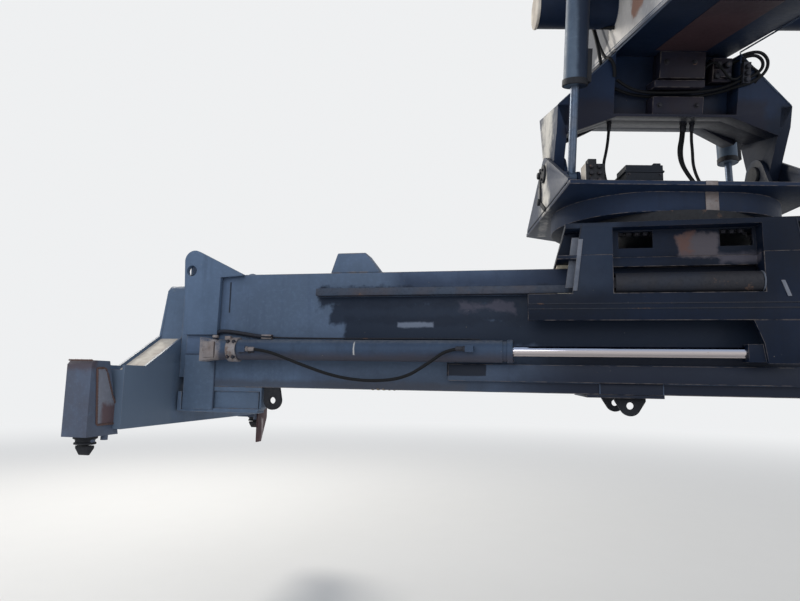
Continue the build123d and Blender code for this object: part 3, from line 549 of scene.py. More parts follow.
def turned(form, place, start, way, profile, sides=24, closed=False):
    """Solid of revolution: profile has pairs of the distance from start along the way and the radius."""
    start, way = Vector(start), Vector(way).normalized()
    one = way.orthogonal().normalized()
    two = way.cross(one)
    rings = []
    for along, radius in profile:
        spots = [start + way * along + (one * math.cos(turn) + two * math.sin(turn)) * radius
                 for turn in (2 * math.pi * i / sides for i in range(sides))]
        rings.append([form.verts.new(place(*spot)) for spot in spots])
    add_skin(form, rings, closed)


def ring(form, place, start, way, length, bore, radius, chamfer):
    """Collar about an axis, open through its bore."""
    profile = [(0, bore), (0, radius - chamfer), (chamfer, radius), (length - chamfer, radius),
               (length, radius - chamfer), (length, bore)]
    turned(form, place, start, way, profile, 36, closed=True)


def bolt(form, place, at, way, across):
    """Washer and hexagon head, standing out from a face."""
    at, way = Vector(at), Vector(way).normalized()
    turned(form, place, at - way, way, [(0, across * 0.82), (across * 0.16, across * 0.82)], 16)
    top = across * 0.72
    turned(form, place, at, way, [(0, across * 0.57), (top - 2, across * 0.57), (top, across * 0.5)], 6)


def tube(form, points, radius, sides):
    """Round skin about a line of points, in metres; radius may be a function of the share of the way."""
    rings = []
    one = (points[1] - points[0]).orthogonal().normalized()
    for i, point in enumerate(points):
        ahead = (points[min(i + 1, len(points) - 1)] - points[max(i - 1, 0)]).normalized()
        one = (one - ahead * one.dot(ahead)).normalized()
        two = ahead.cross(one)
        r = radius(i / (len(points) - 1)) if callable(radius) else radius
        turns = [2 * math.pi * k / sides for k in range(sides)]
        rings.append([form.verts.new(point + (one * math.cos(t) + two * math.sin(t)) * r) for t in turns])
    add_skin(form, rings)


def bead(form, place, start, end, radius):
    """Weld bead from point to point, rippled and a little uneven."""
    start, end = place(*start), place(*end)
    steps = max(3, int((end - start).length / (radius * 0.0013)))
    points = [start.lerp(end, i / steps) for i in range(steps + 1)]
    ripple = [radius / 1000 * (0.82 + 0.3 * (i % 2) + random.uniform(-0.1, 0.1)) for i in range(steps + 1)]
    ripple[0] = ripple[-1] = radius / 2500
    tube(form, points, lambda share: ripple[round(share * steps)], 6)


def beads(form, place, route, radius):
    """Weld beads along each straight run of a route."""
    for start, end in zip(route, route[1:]):
        bead(form, place, start, end, radius)


def add_spline(data, kind, points):
    spline = data.splines.new(kind)
    spline.points.add(len(points) - 1)
    for target, point in zip(spline.points, points):
        target.co = (*point, 1)
    return spline


def curve_mesh(data):
    """Mesh of a curve, which is then removed."""
    carrier = bpy.data.objects.new("carrier", data)
    mesh = bpy.data.meshes.new_from_object(carrier)
    bpy.data.objects.remove(carrier)
    bpy.data.curves.remove(data)
    return mesh


def run_points(place, route):
    """Points along the smooth line of a route, read from its NURBS spline."""
    data = bpy.data.curves.new("route", "CURVE")
    data.dimensions = "3D"
    data.resolution_u = 12
    spline = add_spline(data, "NURBS", [place(*point) for point in route])
    spline.order_u = 3
    spline.use_endpoint_u = True
    mesh = curve_mesh(data)
    line = [vertex.co.copy() for vertex in mesh.vertices]
    bpy.data.meshes.remove(mesh)
    return line


def finished(form, name, material, body, slot, bevel=0, replaced=()):
    """Turn a form into a piece, with its faces turned outwards and its edges rounded by bevel millimetres."""
    bmesh.ops.recalc_face_normals(form, faces=form.faces)
    mesh = bpy.data.meshes.new(name)
    form.to_mesh(mesh)
    form.free()
    piece = add_piece(name, mesh, material, body, slot, *replaced)
    if bevel:
        round_arrises(piece, bevel)
    else:
        smooth(piece.data)
    return piece


def add_box(name, place, x, y, z, material, body, slot, bevel=0):
    """Piece that is one box."""
    form = bmesh.new()
    box(form, place, x, y, z)
    finished(form, name, material, body, slot, bevel)


def add_tube(name, points, radius, sides, material, body, slot):
    """Piece that is one tube of the given radius in millimetres."""
    form = bmesh.new()
    tube(form, points, radius / 1000, sides)
    return finished(form, name, material, body, slot)


def dress(name, material, width):
    """Give a node its material, or a copy of it where its edges are rounded."""
    if not width:
        set_material(nodes[name], material)
        return
    data = nodes[name].data.copy()
    form = bmesh.new()
    form.from_mesh(data)
    bmesh.ops.remove_doubles(form, verts=form.verts, dist=1e-5)
    bmesh.ops.dissolve_limit(form, angle_limit=math.radians(1), verts=form.verts, edges=form.edges)
    form.to_mesh(data)
    form.free()
    for attribute in list(data.attributes):
        if attribute.name in ("custom_normal", "sharp_edge", "sharp_face"):
            data.attributes.remove(attribute)
    piece = add_piece(name + "_form", data, material, BODY_OF[name], SLOT_OF[name], name)
    round_arrises(piece, width)


for name, (material, width) in FINISH.items():
    dress(name, material, width)

random.seed(7)


# Hoses and pipes

SHIFT_HOSE = [(-2200, -636, 640), (-2080, -636, 640), (-1850, -648, 556), (-1600, -656, 474),
              (-1380, -660, 446), (-1160, -656, 466), (-1010, -648, 560), (-890, -640, 650),
              (-790, -640, 650)]


def add_shift_hose():
    line = run_points(on_frame, SHIFT_HOSE)
    hose = add_tube("shift_hose_run", line, 10, 14, rubber, "spreader_frame", "hose_rubber")
    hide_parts("shift_hose")


TILT_HOSES = [
    ("tilt_hose_1", 0.615,
     [(-352, -83.8, 2223.8), (-352, -61.8, 2133.6), (-368, -60, 2030), (-396, -66, 1925),
      (-390, -80, 1825), (-366, -96, 1725), (-366, -96, 1620)]),
    ("tilt_hose_2", 0.631,
     [(140, -83.8, 2223.8), (140, -61.8, 2133.6), (118, -58, 2040), (126, -62, 1945), (164, -74, 1860),
      (206, -88, 1785), (230, -96, 1705), (230, -96, 1620)]),
    ("tilt_hose_3", 0.641,
     [(172, -45, 2233.3), (172, -23, 2143), (154, -18, 2048), (160, -22, 1952), (196, -34, 1868),
      (240, -48, 1792), (268, -58, 1712), (268, -58, 1620)]),
    ("tilt_hose_4", 0.617,
     [(206, -83.8, 2223.8), (206, -61.8, 2133.6), (212, -60, 2032), (209, -64, 1930), (228, -78, 1832),
      (266, -104, 1730), (266, -104, 1620)])]


def add_tilt_hose(name, length, route):
    """Hose from the yoke down to the head, which bends as the head tilts."""
    line = run_points(on_head, route)
    hose = add_tube(name + "_run", line, 10, 12, rubber, None, "hose_rubber")
    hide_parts(name)
    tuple(line[0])
    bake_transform(hose, "boom_nose", "rotator_head", start=line[0], end=line[-1])


add_shift_hose()
for row in TILT_HOSES:
    add_tilt_hose(*row)


def ferrule(form, place, at, way):
    """Hexagon nut and crimped sleeve on a hose's end."""
    turned(form, place, at, way, [(0, 17), (14, 17)], 6)
    turned(form, place, at, way, [(14, 12), (18, 14), (52, 14), (58, 11)], 16)


def add_ferrules():
    low, high = bmesh.new(), bmesh.new()
    for name, length, route in TILT_HOSES:
        ferrule(low, on_head, route[-1], UP)
        ferrule(high, on_head, route[0], Vector(route[1]) - Vector(route[0]))
    finished(low, "head_hose_ends", bolt_steel, "rotator_head", "worn_steel")
    finished(high, "yoke_hose_ends", bolt_steel, "boom_nose", "worn_steel")
    ends = (("start", SHIFT_HOSE[0], 1, worn_boss), ("end", SHIFT_HOSE[-1], -1, bolt_steel))
    for end, point, sign, material in ends:
        form = bmesh.new()
        ferrule(form, on_frame, point, (sign, 0, 0))
        finished(form, "shift_hose_" + end, material, "spreader_frame", "worn_steel")


add_ferrules()

BARREL_PIPES = [
    ("barrel_pipe", 14,
     [(-2511, -462, 700), (-2511, -462, 757), (-2460, -462, 771), (-2333, -462, 757), (-2172, -462, 730),
      (-2100, -462, 730)]),
    ("barrel_line", 5,
     [(-2100, -452, 730), (-2000, -452, 724), (-1400, -452, 722), (-800, -452, 724), (-713, -452, 718)])]
BOOM_HOSES = [
    ("recess_pipe_1", 10,
     [(-362, -150, 594), (-300, -150, 550), (-209, -150, 519), (-79, -150, 514), (115, -150, 520),
      (250, -150, 530), (340, -170, 552), (400, -214, 580), (464, -214, 600), (537, -214, 651),
      (534, -214, 710), (471, -214, 745), (412, -196, 722)]),
    ("recess_pipe_2", 10,
     [(-380, -100, 560), (-290, -100, 520), (-160, -100, 500), (0, -100, 498), (140, -100, 500),
      (260, -110, 516), (340, -150, 530), (400, -214, 548), (470, -214, 566), (560, -214, 630),
      (572, -214, 716), (490, -214, 772), (408, -196, 738)]),
    ("recess_pipe_3", 8,
     [(190, -140, 660), (215, -175, 690), (245, -200, 700), (290, -215, 640), (330, -215, 590),
      (380, -216, 585), (430, -214, 640), (428, -200, 700)]),
    ("recess_pipe_4", 8,
     [(372, -120, 700), (392, -160, 716), (420, -212, 706), (470, -214, 660), (506, -214, 640),
      (520, -214, 600), (500, -196, 570)]),
    ("nose_pipe_1", 11,
     [(-392, 560, 1220), (-470, 520, 1205), (-520, 380, 1160), (-520, 224, 1109), (-520, 42, 1020),
      (-500, -60, 960), (-450, -110, 930), (-392, -150, 920)]),
    ("nose_pipe_2", 11,
     [(-392, 330, 1140), (-450, 260, 1120), (-480, 119, 1073), (-484, -71, 868), (-478, -130, 760),
      (-470, -150, 690)]),
    ("nose_pipe_3", 11,
     [(-392, 300, 1160), (-430, 263, 1124), (-440, 68, 912), (-440, -60, 790), (-440, -150, 728),
      (-436, -208, 716), (-416, -216, 690), (-398, -212, 640), (-396, -200, 600)])]
for name, radius, route in BARREL_PIPES:
    add_tube(name, run_points(on_frame, route), radius, 12, tube_steel, "spreader_frame", "worn_steel")
for name, radius, route in BOOM_HOSES:
    add_tube(name, run_points(on_boom, route), radius, 12, rubber, "boom_nose", "hose_rubber")


# The spreader's frame

def holed(form, place, span, outer, hole):
    """Plate across Y with a hole through it; outer and hole are lists of X and Z."""
    data = bpy.data.curves.new("plate", "CURVE")
    data.dimensions = "2D"
    data.fill_mode = "BOTH"
    data.extrude = 1
    for loop in (outer, hole):
        add_spline(data, "POLY", [(x, z, 0) for x, z in loop]).use_cyclic_u = True
    mesh = curve_mesh(data)
    for vertex in mesh.vertices:
        x, z, side = vertex.co
        vertex.co = place(x, span[0] if side < 0 else span[1], z)
    form.from_mesh(mesh)
    bmesh.ops.remove_doubles(form, verts=form.verts, dist=1e-6)
    bpy.data.meshes.remove(mesh)


def arc(centre, radius, start, end, steps=20):
    """Points of an arc between two angles in degrees."""
    turns = [math.radians(start + (end - start) * i / steps) for i in range(steps + 1)]
    return [(centre[0] + radius * math.cos(turn), centre[1] + radius * math.sin(turn)) for turn in turns]


LUG_FOOT, LUG_SHOULDER = (-2495, LUG_LOW), (-2488, 1140)


def add_lifting_lugs():
    shape = ([(-FRAME_END, LUG_LOW), LUG_FOOT, LUG_SHOULDER, (-2330, 1150), (-2330, FRAME_HIGH)]
             + arc((-2695, 1262), 72, 64, 182))
    hole = arc((-2710, 1190), 38, 0, 345, 23)
    form = bmesh.new()
    for side in (-1, 1):
        holed(form, on_frame, (side * FRAME_SIDE, side * (FRAME_SIDE + LUG_THICK)), shape, hole)
    finished(form, "lifting_lugs_form", lug_paint, "spreader_frame", "spreader_paint", 4, ["lifting_lugs"])
    add_box("lug_tie", on_frame, (-FRAME_END, 16 - FRAME_END), (-FRAME_SIDE, FRAME_SIDE), (FRAME_HIGH, 1240),
            lug_paint, "spreader_frame", "spreader_paint", 3)


END_PLATE_X, END_PLATE_Z = -2513, (240, 612)
EAR_PLATE = (-3, 353)


def add_frame_plates():
    """Thin plates on the near side, and the dark slits beside the lug and at the lower rail's end."""
    add_box("end_flush_plate", on_frame, (-FRAME_END, END_PLATE_X), (-446, -439), END_PLATE_Z,
            end_paint, "spreader_frame", "spreader_paint", 2)
    add_box("ear_side_plate", on_frame, EAR_PLATE, (-447, -439), (FRAME_LOW, LOWER_RAIL[0]),
            frame_paint, "spreader_frame", "spreader_paint", 2)
    slits = bmesh.new()
    box(slits, on_frame, (-2433, -2425), (-443, -438), (899, 1110))
    box(slits, on_frame, (-922, -911), (-443, -438), (489, 573))
    finished(slits, "frame_slits", dark_seam, "spreader_frame", "spreader_paint")


def add_barrel_fittings():
    """Block, clamp and port at the cylinder's tail, its bolts, and the gland that the rod leaves by."""
    block_face, clamp_radius, gland_end = -612, 80, -511
    boss = bmesh.new()
    box(boss, on_frame, (-2520, -2440), (block_face, -580), (585, 690))
    turned(boss, on_frame, (-2449, -575, 716), UP, [(0, 21), (14, 21), (18, 16)])
    ring(boss, on_frame, (-2355, CYLINDER_Y, CYLINDER_Z), ALONG, 70, BARREL_RADIUS, clamp_radius, 3)
    box(boss, on_frame, (-2375, -2335), (-590, -560), (700, 727))
    box(boss, on_frame, (-2172, -2100), (-474, -440), (716, 746))
    finished(boss, "barrel_fittings", worn_boss, "spreader_frame", "worn_steel", 4)
    small = bmesh.new()
    for x in (-2258, -2195):
        turned(small, on_frame, (x, -604, 622), ALONG, [(0, 12), (18, 12)], 6)
        turned(small, on_frame, (x + 18, -604, 622), ALONG, [(0, 8), (26, 8)], 12)
    for rise in (-48, 48):
        out = math.sqrt(clamp_radius ** 2 - rise ** 2)
        for x in (-2340, -2300):
            bolt(small, on_frame, (x, CYLINDER_Y - out, CYLINDER_Z + rise), TO_NEAR, 18)
    for y, z in arc((CYLINDER_Y, CYLINDER_Z), 62, 22, 337, 7):
        bolt(small, on_frame, (gland_end, y, z), ALONG, 10)
    gland = bmesh.new()
    ring(gland, on_frame, (gland_end - 34, CYLINDER_Y, CYLINDER_Z), ALONG, 35, 60, 71, 3)
    finished(gland, "barrel_gland", barrel_paint, "spreader_frame", "spreader_paint")
    finished(small, "barrel_bolts", bolt_steel, "spreader_frame", "worn_steel")


def add_mud():
    """Lumps caked under the frame's lower edge."""
    form = bmesh.new()
    for x in (-1400, -1362, -1330, -1296, -1262):
        size = random.uniform(0.7, 1.2)
        profile = [(along * size, radius * size) for along, radius in ((0, 4), (3, 13), (9, 15), (14, 9))]
        profile.append((17 * size, 3))
        turned(form, on_frame, (x + random.uniform(-8, 8), -428, 392), (0.2, -0.2, 1), profile, 9)
    finished(form, "mud_lumps", mud, "spreader_frame", "spreader_paint")


def add_frame_welds():
    seam, plate_seam = -441, -446
    both_sides = [
        [(-RAIL_END, seam, RAIL_LOW), (RAIL_END, seam, RAIL_LOW)],
        [(-2494, seam, LUG_LOW), (LUG_SHOULDER[0], seam, LUG_SHOULDER[1])],
        [(-FRAME_END, seam, LUG_LOW), (LUG_FOOT[0], seam, LUG_LOW)]]
    near_side = [[(-910, seam, z), (1400, seam, z)] for z in LOWER_RAIL]
    low, top = END_PLATE_Z
    near_side.append([(-FRAME_END, plate_seam, top), (END_PLATE_X, plate_seam, top),
                      (END_PLATE_X, plate_seam, low)])
    near_side += [[(x, plate_seam, FRAME_LOW), (x, plate_seam, LOWER_RAIL[0])] for x in EAR_PLATE]
    form = bmesh.new()
    for route in both_sides + near_side:
        beads(form, on_frame, route, 4)
    for route in both_sides:
        beads(form, flipped(on_frame, 1, -1), route, 4)
    finished(form, "frame_welds", seam_finish, "spreader_frame", "spreader_paint")


add_lifting_lugs()
add_frame_plates()
add_barrel_fittings()
add_mud()
add_frame_welds()


# Ends: pale slopes of dust and painted sunlight, the panels inside the corner housings, and the skirts round
# the twistlocks

PANEL = [(-1176, 496), (-1108, 498), (-1088, 475), (-1027, 340), (-970, 250), (-962, 172), (-1144, 173)]
PANEL_X = -2850
SLOPE_X = (-2984, -2816)
SLOPE_LOW, SLOPE_HIGH = (-794, 492), (-369, 719)
SKIRT = [(0, 24), (0, 66), (14, 66), (20, 54), (32, 52), (38, 60), (46, 60), (48, 50), (48, 24)]


def add_end(end, x_sign):
    body = "telescope_" + end
    dusty, panels, welds, skirts = bmesh.new(), bmesh.new(), bmesh.new(), bmesh.new()
    for side, y_sign in SIDES.items():
        place = flipped(on_frame, x_sign, y_sign)
        # Pale plates on the slopes: dust and painted sunlight
        upper = [(y, z + 4) for y, z in (SLOPE_HIGH, SLOPE_LOW)]
        slab(dusty, place, "x", SLOPE_X, [SLOPE_LOW, SLOPE_HIGH, *upper])
        for x in SLOPE_X:
            beads(welds, place, [(x, -980, SLOPE_LOW[1]), (x, *SLOPE_LOW), (x, *SLOPE_HIGH)], 4)
        beads(welds, place, [(-3013, -1214, 540), (-2853, -1214, 540)], 5)
        if side == "near":
            slab(panels, place, "x", (PANEL_X - 4, PANEL_X + 1), PANEL)
            beads(welds, place, [(PANEL_X, *point) for point in PANEL + PANEL[:1]], 7)
        turned(skirts, place, (-LOCK_X, -LOCK_Y, 108), DOWN, SKIRT, 32, True)
    finished(skirts, "lock_skirts_" + end, lock_finish, body, "lock_steel")
    finished(dusty, "slope_dust_and_sun_" + end, dust_and_sunlight, body, "spreader_paint")
    finished(panels, "corner_panels_" + end, inner_panel, body, "corner_paint", 1.5)
    finished(welds, "corner_welds_" + end, weld_finish, body, "corner_paint")


for end, x_sign in ENDS.items():
    add_end(end, x_sign)


# The carriage

def on_carriage(x, y, z):
    """Point given from the carriage's middle."""
    return on_frame(CARRIAGE_AT + x, y, z)


# Pale strips on the posts' edges and on the right plate's slanted edge: painted sunlight
def add_post_strips():
    front = (-APRON_OUT - 5, 1 - APRON_OUT)
    strips = bmesh.new()
    slab(strips, on_frame, "y", front, [(-122, 1303), (-97, 1303), (-136, 995), (-161, 995)])
    slab(strips, on_frame, "y", (-566, -560), [(-156, 1326), (-112, 1326), (-155, 1021), (-199, 1021)])
    slab(strips, on_frame, "y", front, [(946, 1041), (966, 1041), (996, 951), (976, 951)])
    finished(strips, "post_strips", sunlit_edge_paint, "carriage", "spreader_paint", 1.5)


def add_ring_bolts():
    """Two rows of bolts under the tower's plate, the collar at the rod's anchor, and a cross tube's rim."""
    circle, row, pitch = 545, -474, 48
    bolts = bmesh.new()
    for x, y in arc((CARRIAGE_AT, 0), circle, 0, 352.5, 47):
        if 40 < abs(y) < 415:
            bolt(bolts, on_frame, (x, y, TOWER_PLATE_LOW), DOWN, 26)
    for i in range(-7, 8):
        bolt(bolts, on_carriage, (pitch * i, row, TOWER_PLATE_LOW), DOWN, 34)
    collar = [(0, 20), (6, 30), (24, 34), (42, 30), (48, 22)]
    turned(bolts, on_frame, (764, CYLINDER_Y, CYLINDER_Z - 10), ALONG, collar)
    finished(bolts, "ring_bolts", bolt_steel, "carriage", "worn_steel")
    # A pale rim on the cross tube's end: painted sunlight
    rim = bmesh.new()
    ring(rim, on_frame, (863, -TUBE_Y, TUBE_LEVEL), ALONG, 8, 50, 62, 2)
    finished(rim, "tube_end_rim", sunlit_edge_paint, "carriage", "worn_steel")


def add_carriage_welds():
    under = TOWER_PLATE_LOW - 2
    seams = bmesh.new()
    for z in (APRON_TOP + 1, 889):
        bead(seams, on_frame, (-420, -621, z), (1360, -621, z), 4)
    for x_sign in (-1, 1):
        place = flipped(on_carriage, x_sign, 1)
        for y_sign in (-1, 1):
            near = flipped(place, 1, y_sign)
            beads(seams, near, [(574, 481, under), (400, 481, under)], 4)
            beads(seams, near, [(632, 621, 985), (575, 621, 1390)], 3)
            beads(seams, near, [(554, 438, under), (554, 438, 1211), (718, 438, 1211)], 4)
        beads(seams, place, [(-667, -521, 1372), (0, -521, 1372)], 4)
    finished(seams, "carriage_welds", dark_seam, "carriage", "spreader_paint")


add_post_strips()
add_ring_bolts()
add_carriage_welds()


# The head and the yoke on its tilt pins

def sideways(place):
    """The same placing function with its first two coordinates exchanged."""
    return lambda x, y, z: place(y, x, z)


def add_tilt_lugs():
    """Two lugs on each side, with eyes for the pins."""
    plate_top = HEAD_TOP + 20
    wide, slim = [
        [(-foot, plate_top), (-foot, HEAD_TOP), (foot, HEAD_TOP), (foot, plate_top)]
        + arc((0, PIN_LEVEL), EYE_RADIUS, start, 180 - start) for foot, start in ((610, 50), (230, 22))]
    hole = arc((0, PIN_LEVEL), PIN_RADIUS, 0, 350, 35)
    lugs = bmesh.new()
    for sign in (-1, 1):
        for start, shape in ((WIDE_LUG, wide), (SLIM_LUG, slim)):
            holed(lugs, sideways(on_head), (sign * start, sign * (start + LUG_PLATE)), shape, hole)
    finished(lugs, "tilt_lugs_form", head_finish, "rotator_head", "boom_paint", 4, ["tilt_lugs"])


def add_tilt_pins():
    head, shank, tail = 64, 49.5, 62
    pin = [(0, 60), (4, head), (18, head), (18, shank), (150, shank), (150, tail), (158, tail), (162, 57)]
    pins = bmesh.new()
    for sign in (-1, 1):
        turned(pins, on_head, (sign * 632, 0, PIN_LEVEL), (sign, 0, 0), pin, 40)
        for y, z in arc((0, PIN_LEVEL), 38, 30, 270, 2):
            bolt(pins, on_head, (sign * 794, y, z), (sign, 0, 0), 16)
    finished(pins, "tilt_pins_form", lock_finish, "rotator_head", "lock_steel", 2, ["tilt_pins"])


def add_yoke():
    """Yoke in three slices, with legs as thin as in the photograph."""
    leg_radius, leg_inner, far_inner = 115, 680, 600
    leg = ([(YOKE_NEAR, 295), (YOKE_NEAR, YOKE_SHOULDER), (YOKE_FAR, YOKE_SHOULDER), (YOKE_FAR, 420)]
           + arc((0, 0), leg_radius, -29, -165))
    left, right = (-YOKE_HALF, YOKE_SHOULDER), (YOKE_HALF, YOKE_SHOULDER)
    top = [left, (-380, NOSE_LOW), (380, NOSE_LOW), right]
    arch = [(367, YOKE_ARCH), (-367, YOKE_ARCH)]
    front = [left, (-392, 756), (-390, 370), (400, 370), (400, 748), right]
    slices = ((front, leg_inner, YOKE_NEAR, -59), (top, leg_inner, -60, 201), (top, far_inner, 200, YOKE_FAR))
    yoke = bmesh.new()
    for shape, edge, start, end in slices:
        slab(yoke, on_boom, "y", (start, end), shape + [(edge, 240)] + arch + [(-edge, 240)])
    hole = arc((0, 0), PIN_RADIUS, 0, 350, 35)
    for sign in (-1, 1):
        holed(yoke, sideways(on_boom), (sign * leg_inner, sign * YOKE_HALF), leg, hole)
    finished(yoke, "yoke_form", yoke_paint, "boom_nose", "boom_paint", 5, ["yoke"])


add_tilt_lugs()
add_tilt_pins()
add_yoke()


def add_head_plates():
    """Bar that keeps the left pin, strap over the drum's edge, and pale dust and painted sunlight on the
    valve block's left face.
    """
    inner, outer = -780, -791
    bar = [(84, 1950), (112, 1950), (126, 1700), (-20, 1608), (-58, 1622), (92, 1714)]
    keeper = bmesh.new()
    slab(keeper, on_head, "x", (outer, inner), bar)
    for y, z in ((98, 1900), (108, 1712)):
        turned(keeper, on_head, (outer, y, z), (-1, 0, 0), [(0, 24), (12, 24), (16, 18)])
    finished(keeper, "keeper_bar", lock_finish, "rotator_head", "lock_steel", 2)
    strap = bmesh.new()
    box(strap, on_head, (48, 125), (-535, -529), (1477, 1594))
    box(strap, on_head, (-4, 64), (-654, -649), (1594, HEAD_TOP))
    finished(strap, "drum_strap", worn_boss, "rotator_head", "worn_steel", 1)
    # Pale plate on the valve block's left face: dust and painted sunlight
    add_box("valve_dust_and_sun", on_head, (-664, -659), (-560, -475), (HEAD_TOP, 1750),
            dust_and_sunlight, "rotator_head", "lock_steel")


def add_head_bolts():
    """Plugs of the valve block, bolts of the junction box and of the drum's top plate."""
    small = bmesh.new()
    for z in (1650, 1690, 1730):
        for x in (-628, -580):
            turned(small, on_head, (x, -560, z), TO_NEAR, [(0, 14), (12, 14), (16, 10)], 6)
    for x in (-406, -223):
        for z in (1634, 1686):
            bolt(small, on_head, (x, -560, z), TO_NEAR, 12)
    for x, y in arc((0, 0), 490, 0, 345, 23):
        if not (-460 < x < -180 and y < -370):
            bolt(small, on_head, (x, y, HEAD_TOP), UP, 30)
    finished(small, "head_bolts", bolt_steel, "rotator_head", "worn_steel")


def add_head_welds():
    """Seams at the feet of the tilt lugs."""
    level = HEAD_TOP + 1
    seams = bmesh.new()
    for sign in (-1, 1):
        for lug, length in ((WIDE_LUG, 600), (SLIM_LUG, 225)):
            for x in (sign * lug, sign * (lug + LUG_PLATE)):
                bead(seams, on_head, (x, -length, level), (x, length, level), 5)
    finished(seams, "head_welds", dark_seam, "rotator_head", "boom_paint")


add_head_plates()
add_head_bolts()
add_head_welds()


# Welds and fittings of the yoke, nose and dampers

def add_boom_welds():
    side, corner, front = NOSE_HALF + 1, NOSE_HALF + 2, YOKE_NEAR - 1
    loop = arc((NOSE_TUBE_Y, NOSE_TUBE_Z), 114, 0, 360, 24)
    seams = bmesh.new()
    for sign in (-1, 1):
        place = flipped(on_boom, sign, 1)
        beads(seams, place, [(corner, YOKE_NEAR, 756), (corner, -1050, 768)], 5)
        beads(seams, place, [(745, front, 428), (corner, front, 752)], 4)
        for z in (800, 1454):
            beads(seams, place, [(side, 700, z), (side, -1000, z)], 4)
        beads(seams, place, [(side, y, z) for y, z in loop], 5)
    bead(seams, on_boom, (560, front, 592), (655, front, 505), 4)
    finished(seams, "boom_welds", seam_finish, "boom_nose", "boom_paint")


def add_nose_plates():
    """Rims of the tubes, a skin on the left side, and the strip and lip at the lower edge; rims, skin and lip
    are pale as painted sunlight.
    """
    rims = bmesh.new()
    for sign in (-1, 1):
        turned(rims, on_boom, (sign * 900, NOSE_TUBE_Y, NOSE_TUBE_Z), (sign, 0, 0),
               [(-16, 116), (0, 116), (3, 108), (3, 70)], 40)
    finished(rims, "tube_rims", dust_and_sunlight, "boom_nose", "boom_paint", 2)
    skin = bmesh.new()
    slab(skin, on_boom, "x", (-NOSE_HALF - 3, 1 - NOSE_HALF),
         [(716, 784), (716, 1484), (-1054, 1484), (-1054, 784)])
    finished(skin, "nose_side_skin", sunlit_nose_skin, "boom_nose", "boom_paint")
    add_box("nose_under_strip", on_boom, (-145, 178), (-1020, -206), (NOSE_LOW - 3, NOSE_LOW + 2),
            under_paint, "boom_nose", "boom_paint")
    # Pale lip along the nose's lower left edge: painted sunlight
    add_box("nose_lip", on_boom, (-404, -388), (-1050, -205), (NOSE_LOW, 784),
            sunlit_edge_paint, "boom_nose", "boom_paint", 2)


def add_boom_fittings():
    """Plugs of the valves, coil block, bolts of the covers, and clips of the hoses on the nose's side."""
    group = bmesh.new()
    for x in (275, 340):
        for z in (620, 690):
            turned(group, on_boom, (x, -155, z), TO_NEAR, [(0, 22), (26, 22), (30, 17)], 6)
    box(group, on_boom, (404, 452), (-236, -196), (560, 690))
    for z in (580, 620, 660):
        turned(group, on_boom, (428, -236, z), TO_NEAR, [(0, 16), (20, 16), (24, 12)], 16)
    for x, z in ((-60, 700), (120, 700), (-90, 560), (130, 560), (-90, 430), (150, 430)):
        bolt(group, on_boom, (x, -180, z), TO_NEAR, 22)
    for x, y, z in ((-494, -120, 979), (-494, 200, 1088)):
        box(group, on_boom, (x - 40, -388), (y - 16, y + 16), (z - 26, z + 40))
    finished(group, "boom_fittings", bolt_steel, "boom_nose", "worn_steel", 1.5)


def add_damper_rings(side, sign):
    place = on_damper(sign)
    rings = bmesh.new()
    radius = 73 if side == "far" else 77
    for start, end in ((66, 96), (574, 612)):
        ring(rings, place, (0, 0, start), (0, 0, 1), end - start, 66, radius, 2)
    box(rings, place, (58, 92), (-26, 26), (395, 590))
    finished(rings, f"damper_{side}_rings", lock_finish, f"{side}_damper_barrel", "boom_paint", 2)


add_boom_welds()
add_nose_plates()
add_boom_fittings()
for side, sign in (("near", -1), ("far", 1)):
    add_damper_rings(side, sign)


# Floor, light and air

AIR = (0.86, 0.87, 0.88, 1)


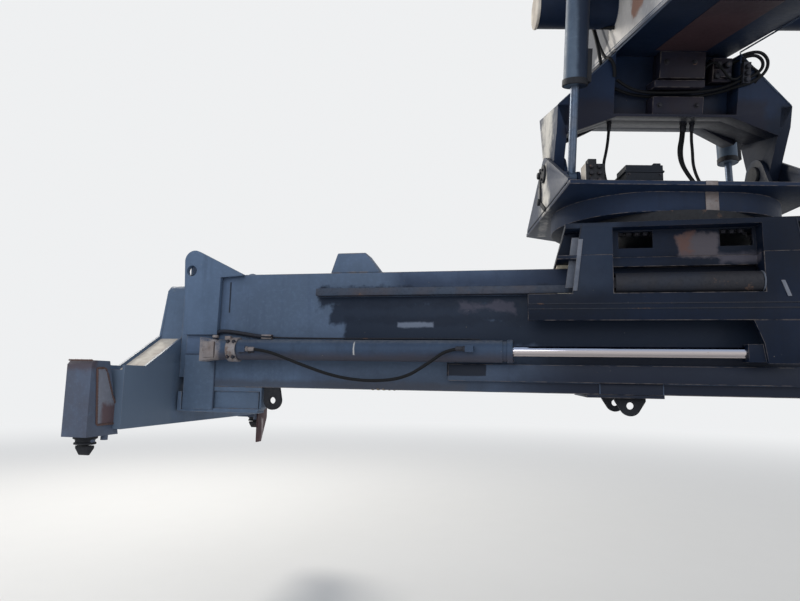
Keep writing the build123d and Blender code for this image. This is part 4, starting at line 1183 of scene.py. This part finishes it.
def add_floor():
    """Pale floor that fades into the air behind it."""
    look = Look("floor")
    away = look.vector("LENGTH", look.place, out=1)
    look.colour = look.mix(look.noise(3, 3), (0.70, 0.70, 0.70, 1), (0.72, 0.72, 0.72, 1))
    look.put("Roughness", 0.9)
    air = look.node("Emission", Color=AIR, Strength=1.0)
    fading = look.node("MixShader", n0=look.ramp(away, 3, 20), n1=look.shader.outputs[0], n2=air)
    look.tree.links.new(fading, look.tree.nodes["Material Output"].inputs[0])
    form = bmesh.new()
    bmesh.ops.create_circle(form, cap_ends=True, radius=60, segments=96)
    mesh = bpy.data.meshes.new("floor")
    form.to_mesh(mesh)
    form.free()
    floor = add_object("floor", mesh)
    floor.location = on_frame(0, 0, FLOOR_LEVEL)
    set_material(floor, look.done())


def add_lamp(name, place, target, size, power, colour):
    data = bpy.data.lights.new(name, "AREA")
    data.shape = "DISK"
    data.size = size
    data.energy = power
    data.color = colour
    lamp = add_object(name, data)
    lamp.location = on_frame(*place)
    lamp.rotation_euler = (on_frame(*target) - lamp.location).to_track_quat("-Z", "Y").to_euler()


def add_world():
    world = bpy.data.worlds.new("studio")
    world.use_nodes = True
    tree = world.node_tree
    tree.nodes.clear()
    light = node(tree, "Background", Color=(0.93, 0.96, 1.0, 1), Strength=0.62)
    seen = node(tree, "Background", Color=AIR, Strength=1.0)
    rays = tree.nodes.new("ShaderNodeLightPath").outputs
    either = rays["Is Camera Ray"]
    for kind in ("Is Glossy Ray", "Is Transmission Ray"):
        either = node(tree, "Math", {"operation": "MAXIMUM"}, n0=either, n1=rays[kind])
    both = node(tree, "MixShader", n0=either, n1=light, n2=seen)
    output = tree.nodes.new("ShaderNodeOutputWorld")
    tree.links.new(both, output.inputs[0])
    bpy.context.scene.world = world


add_floor()
add_world()
add_lamp("key", (-7500, 4200, 6500), (0, 0, 1200), 2.5, 620, (1.0, 0.95, 0.86))
add_lamp("side", (7500, -8000, 2200), (-1500, 0, 700), 5, 150, (0.95, 0.97, 1.0))
add_lamp("fill", (-2500, -9000, 4500), (0, 0, 1000), 6, 260, (0.93, 0.96, 1.0))
bpy.context.scene.view_settings.view_transform = "Standard"
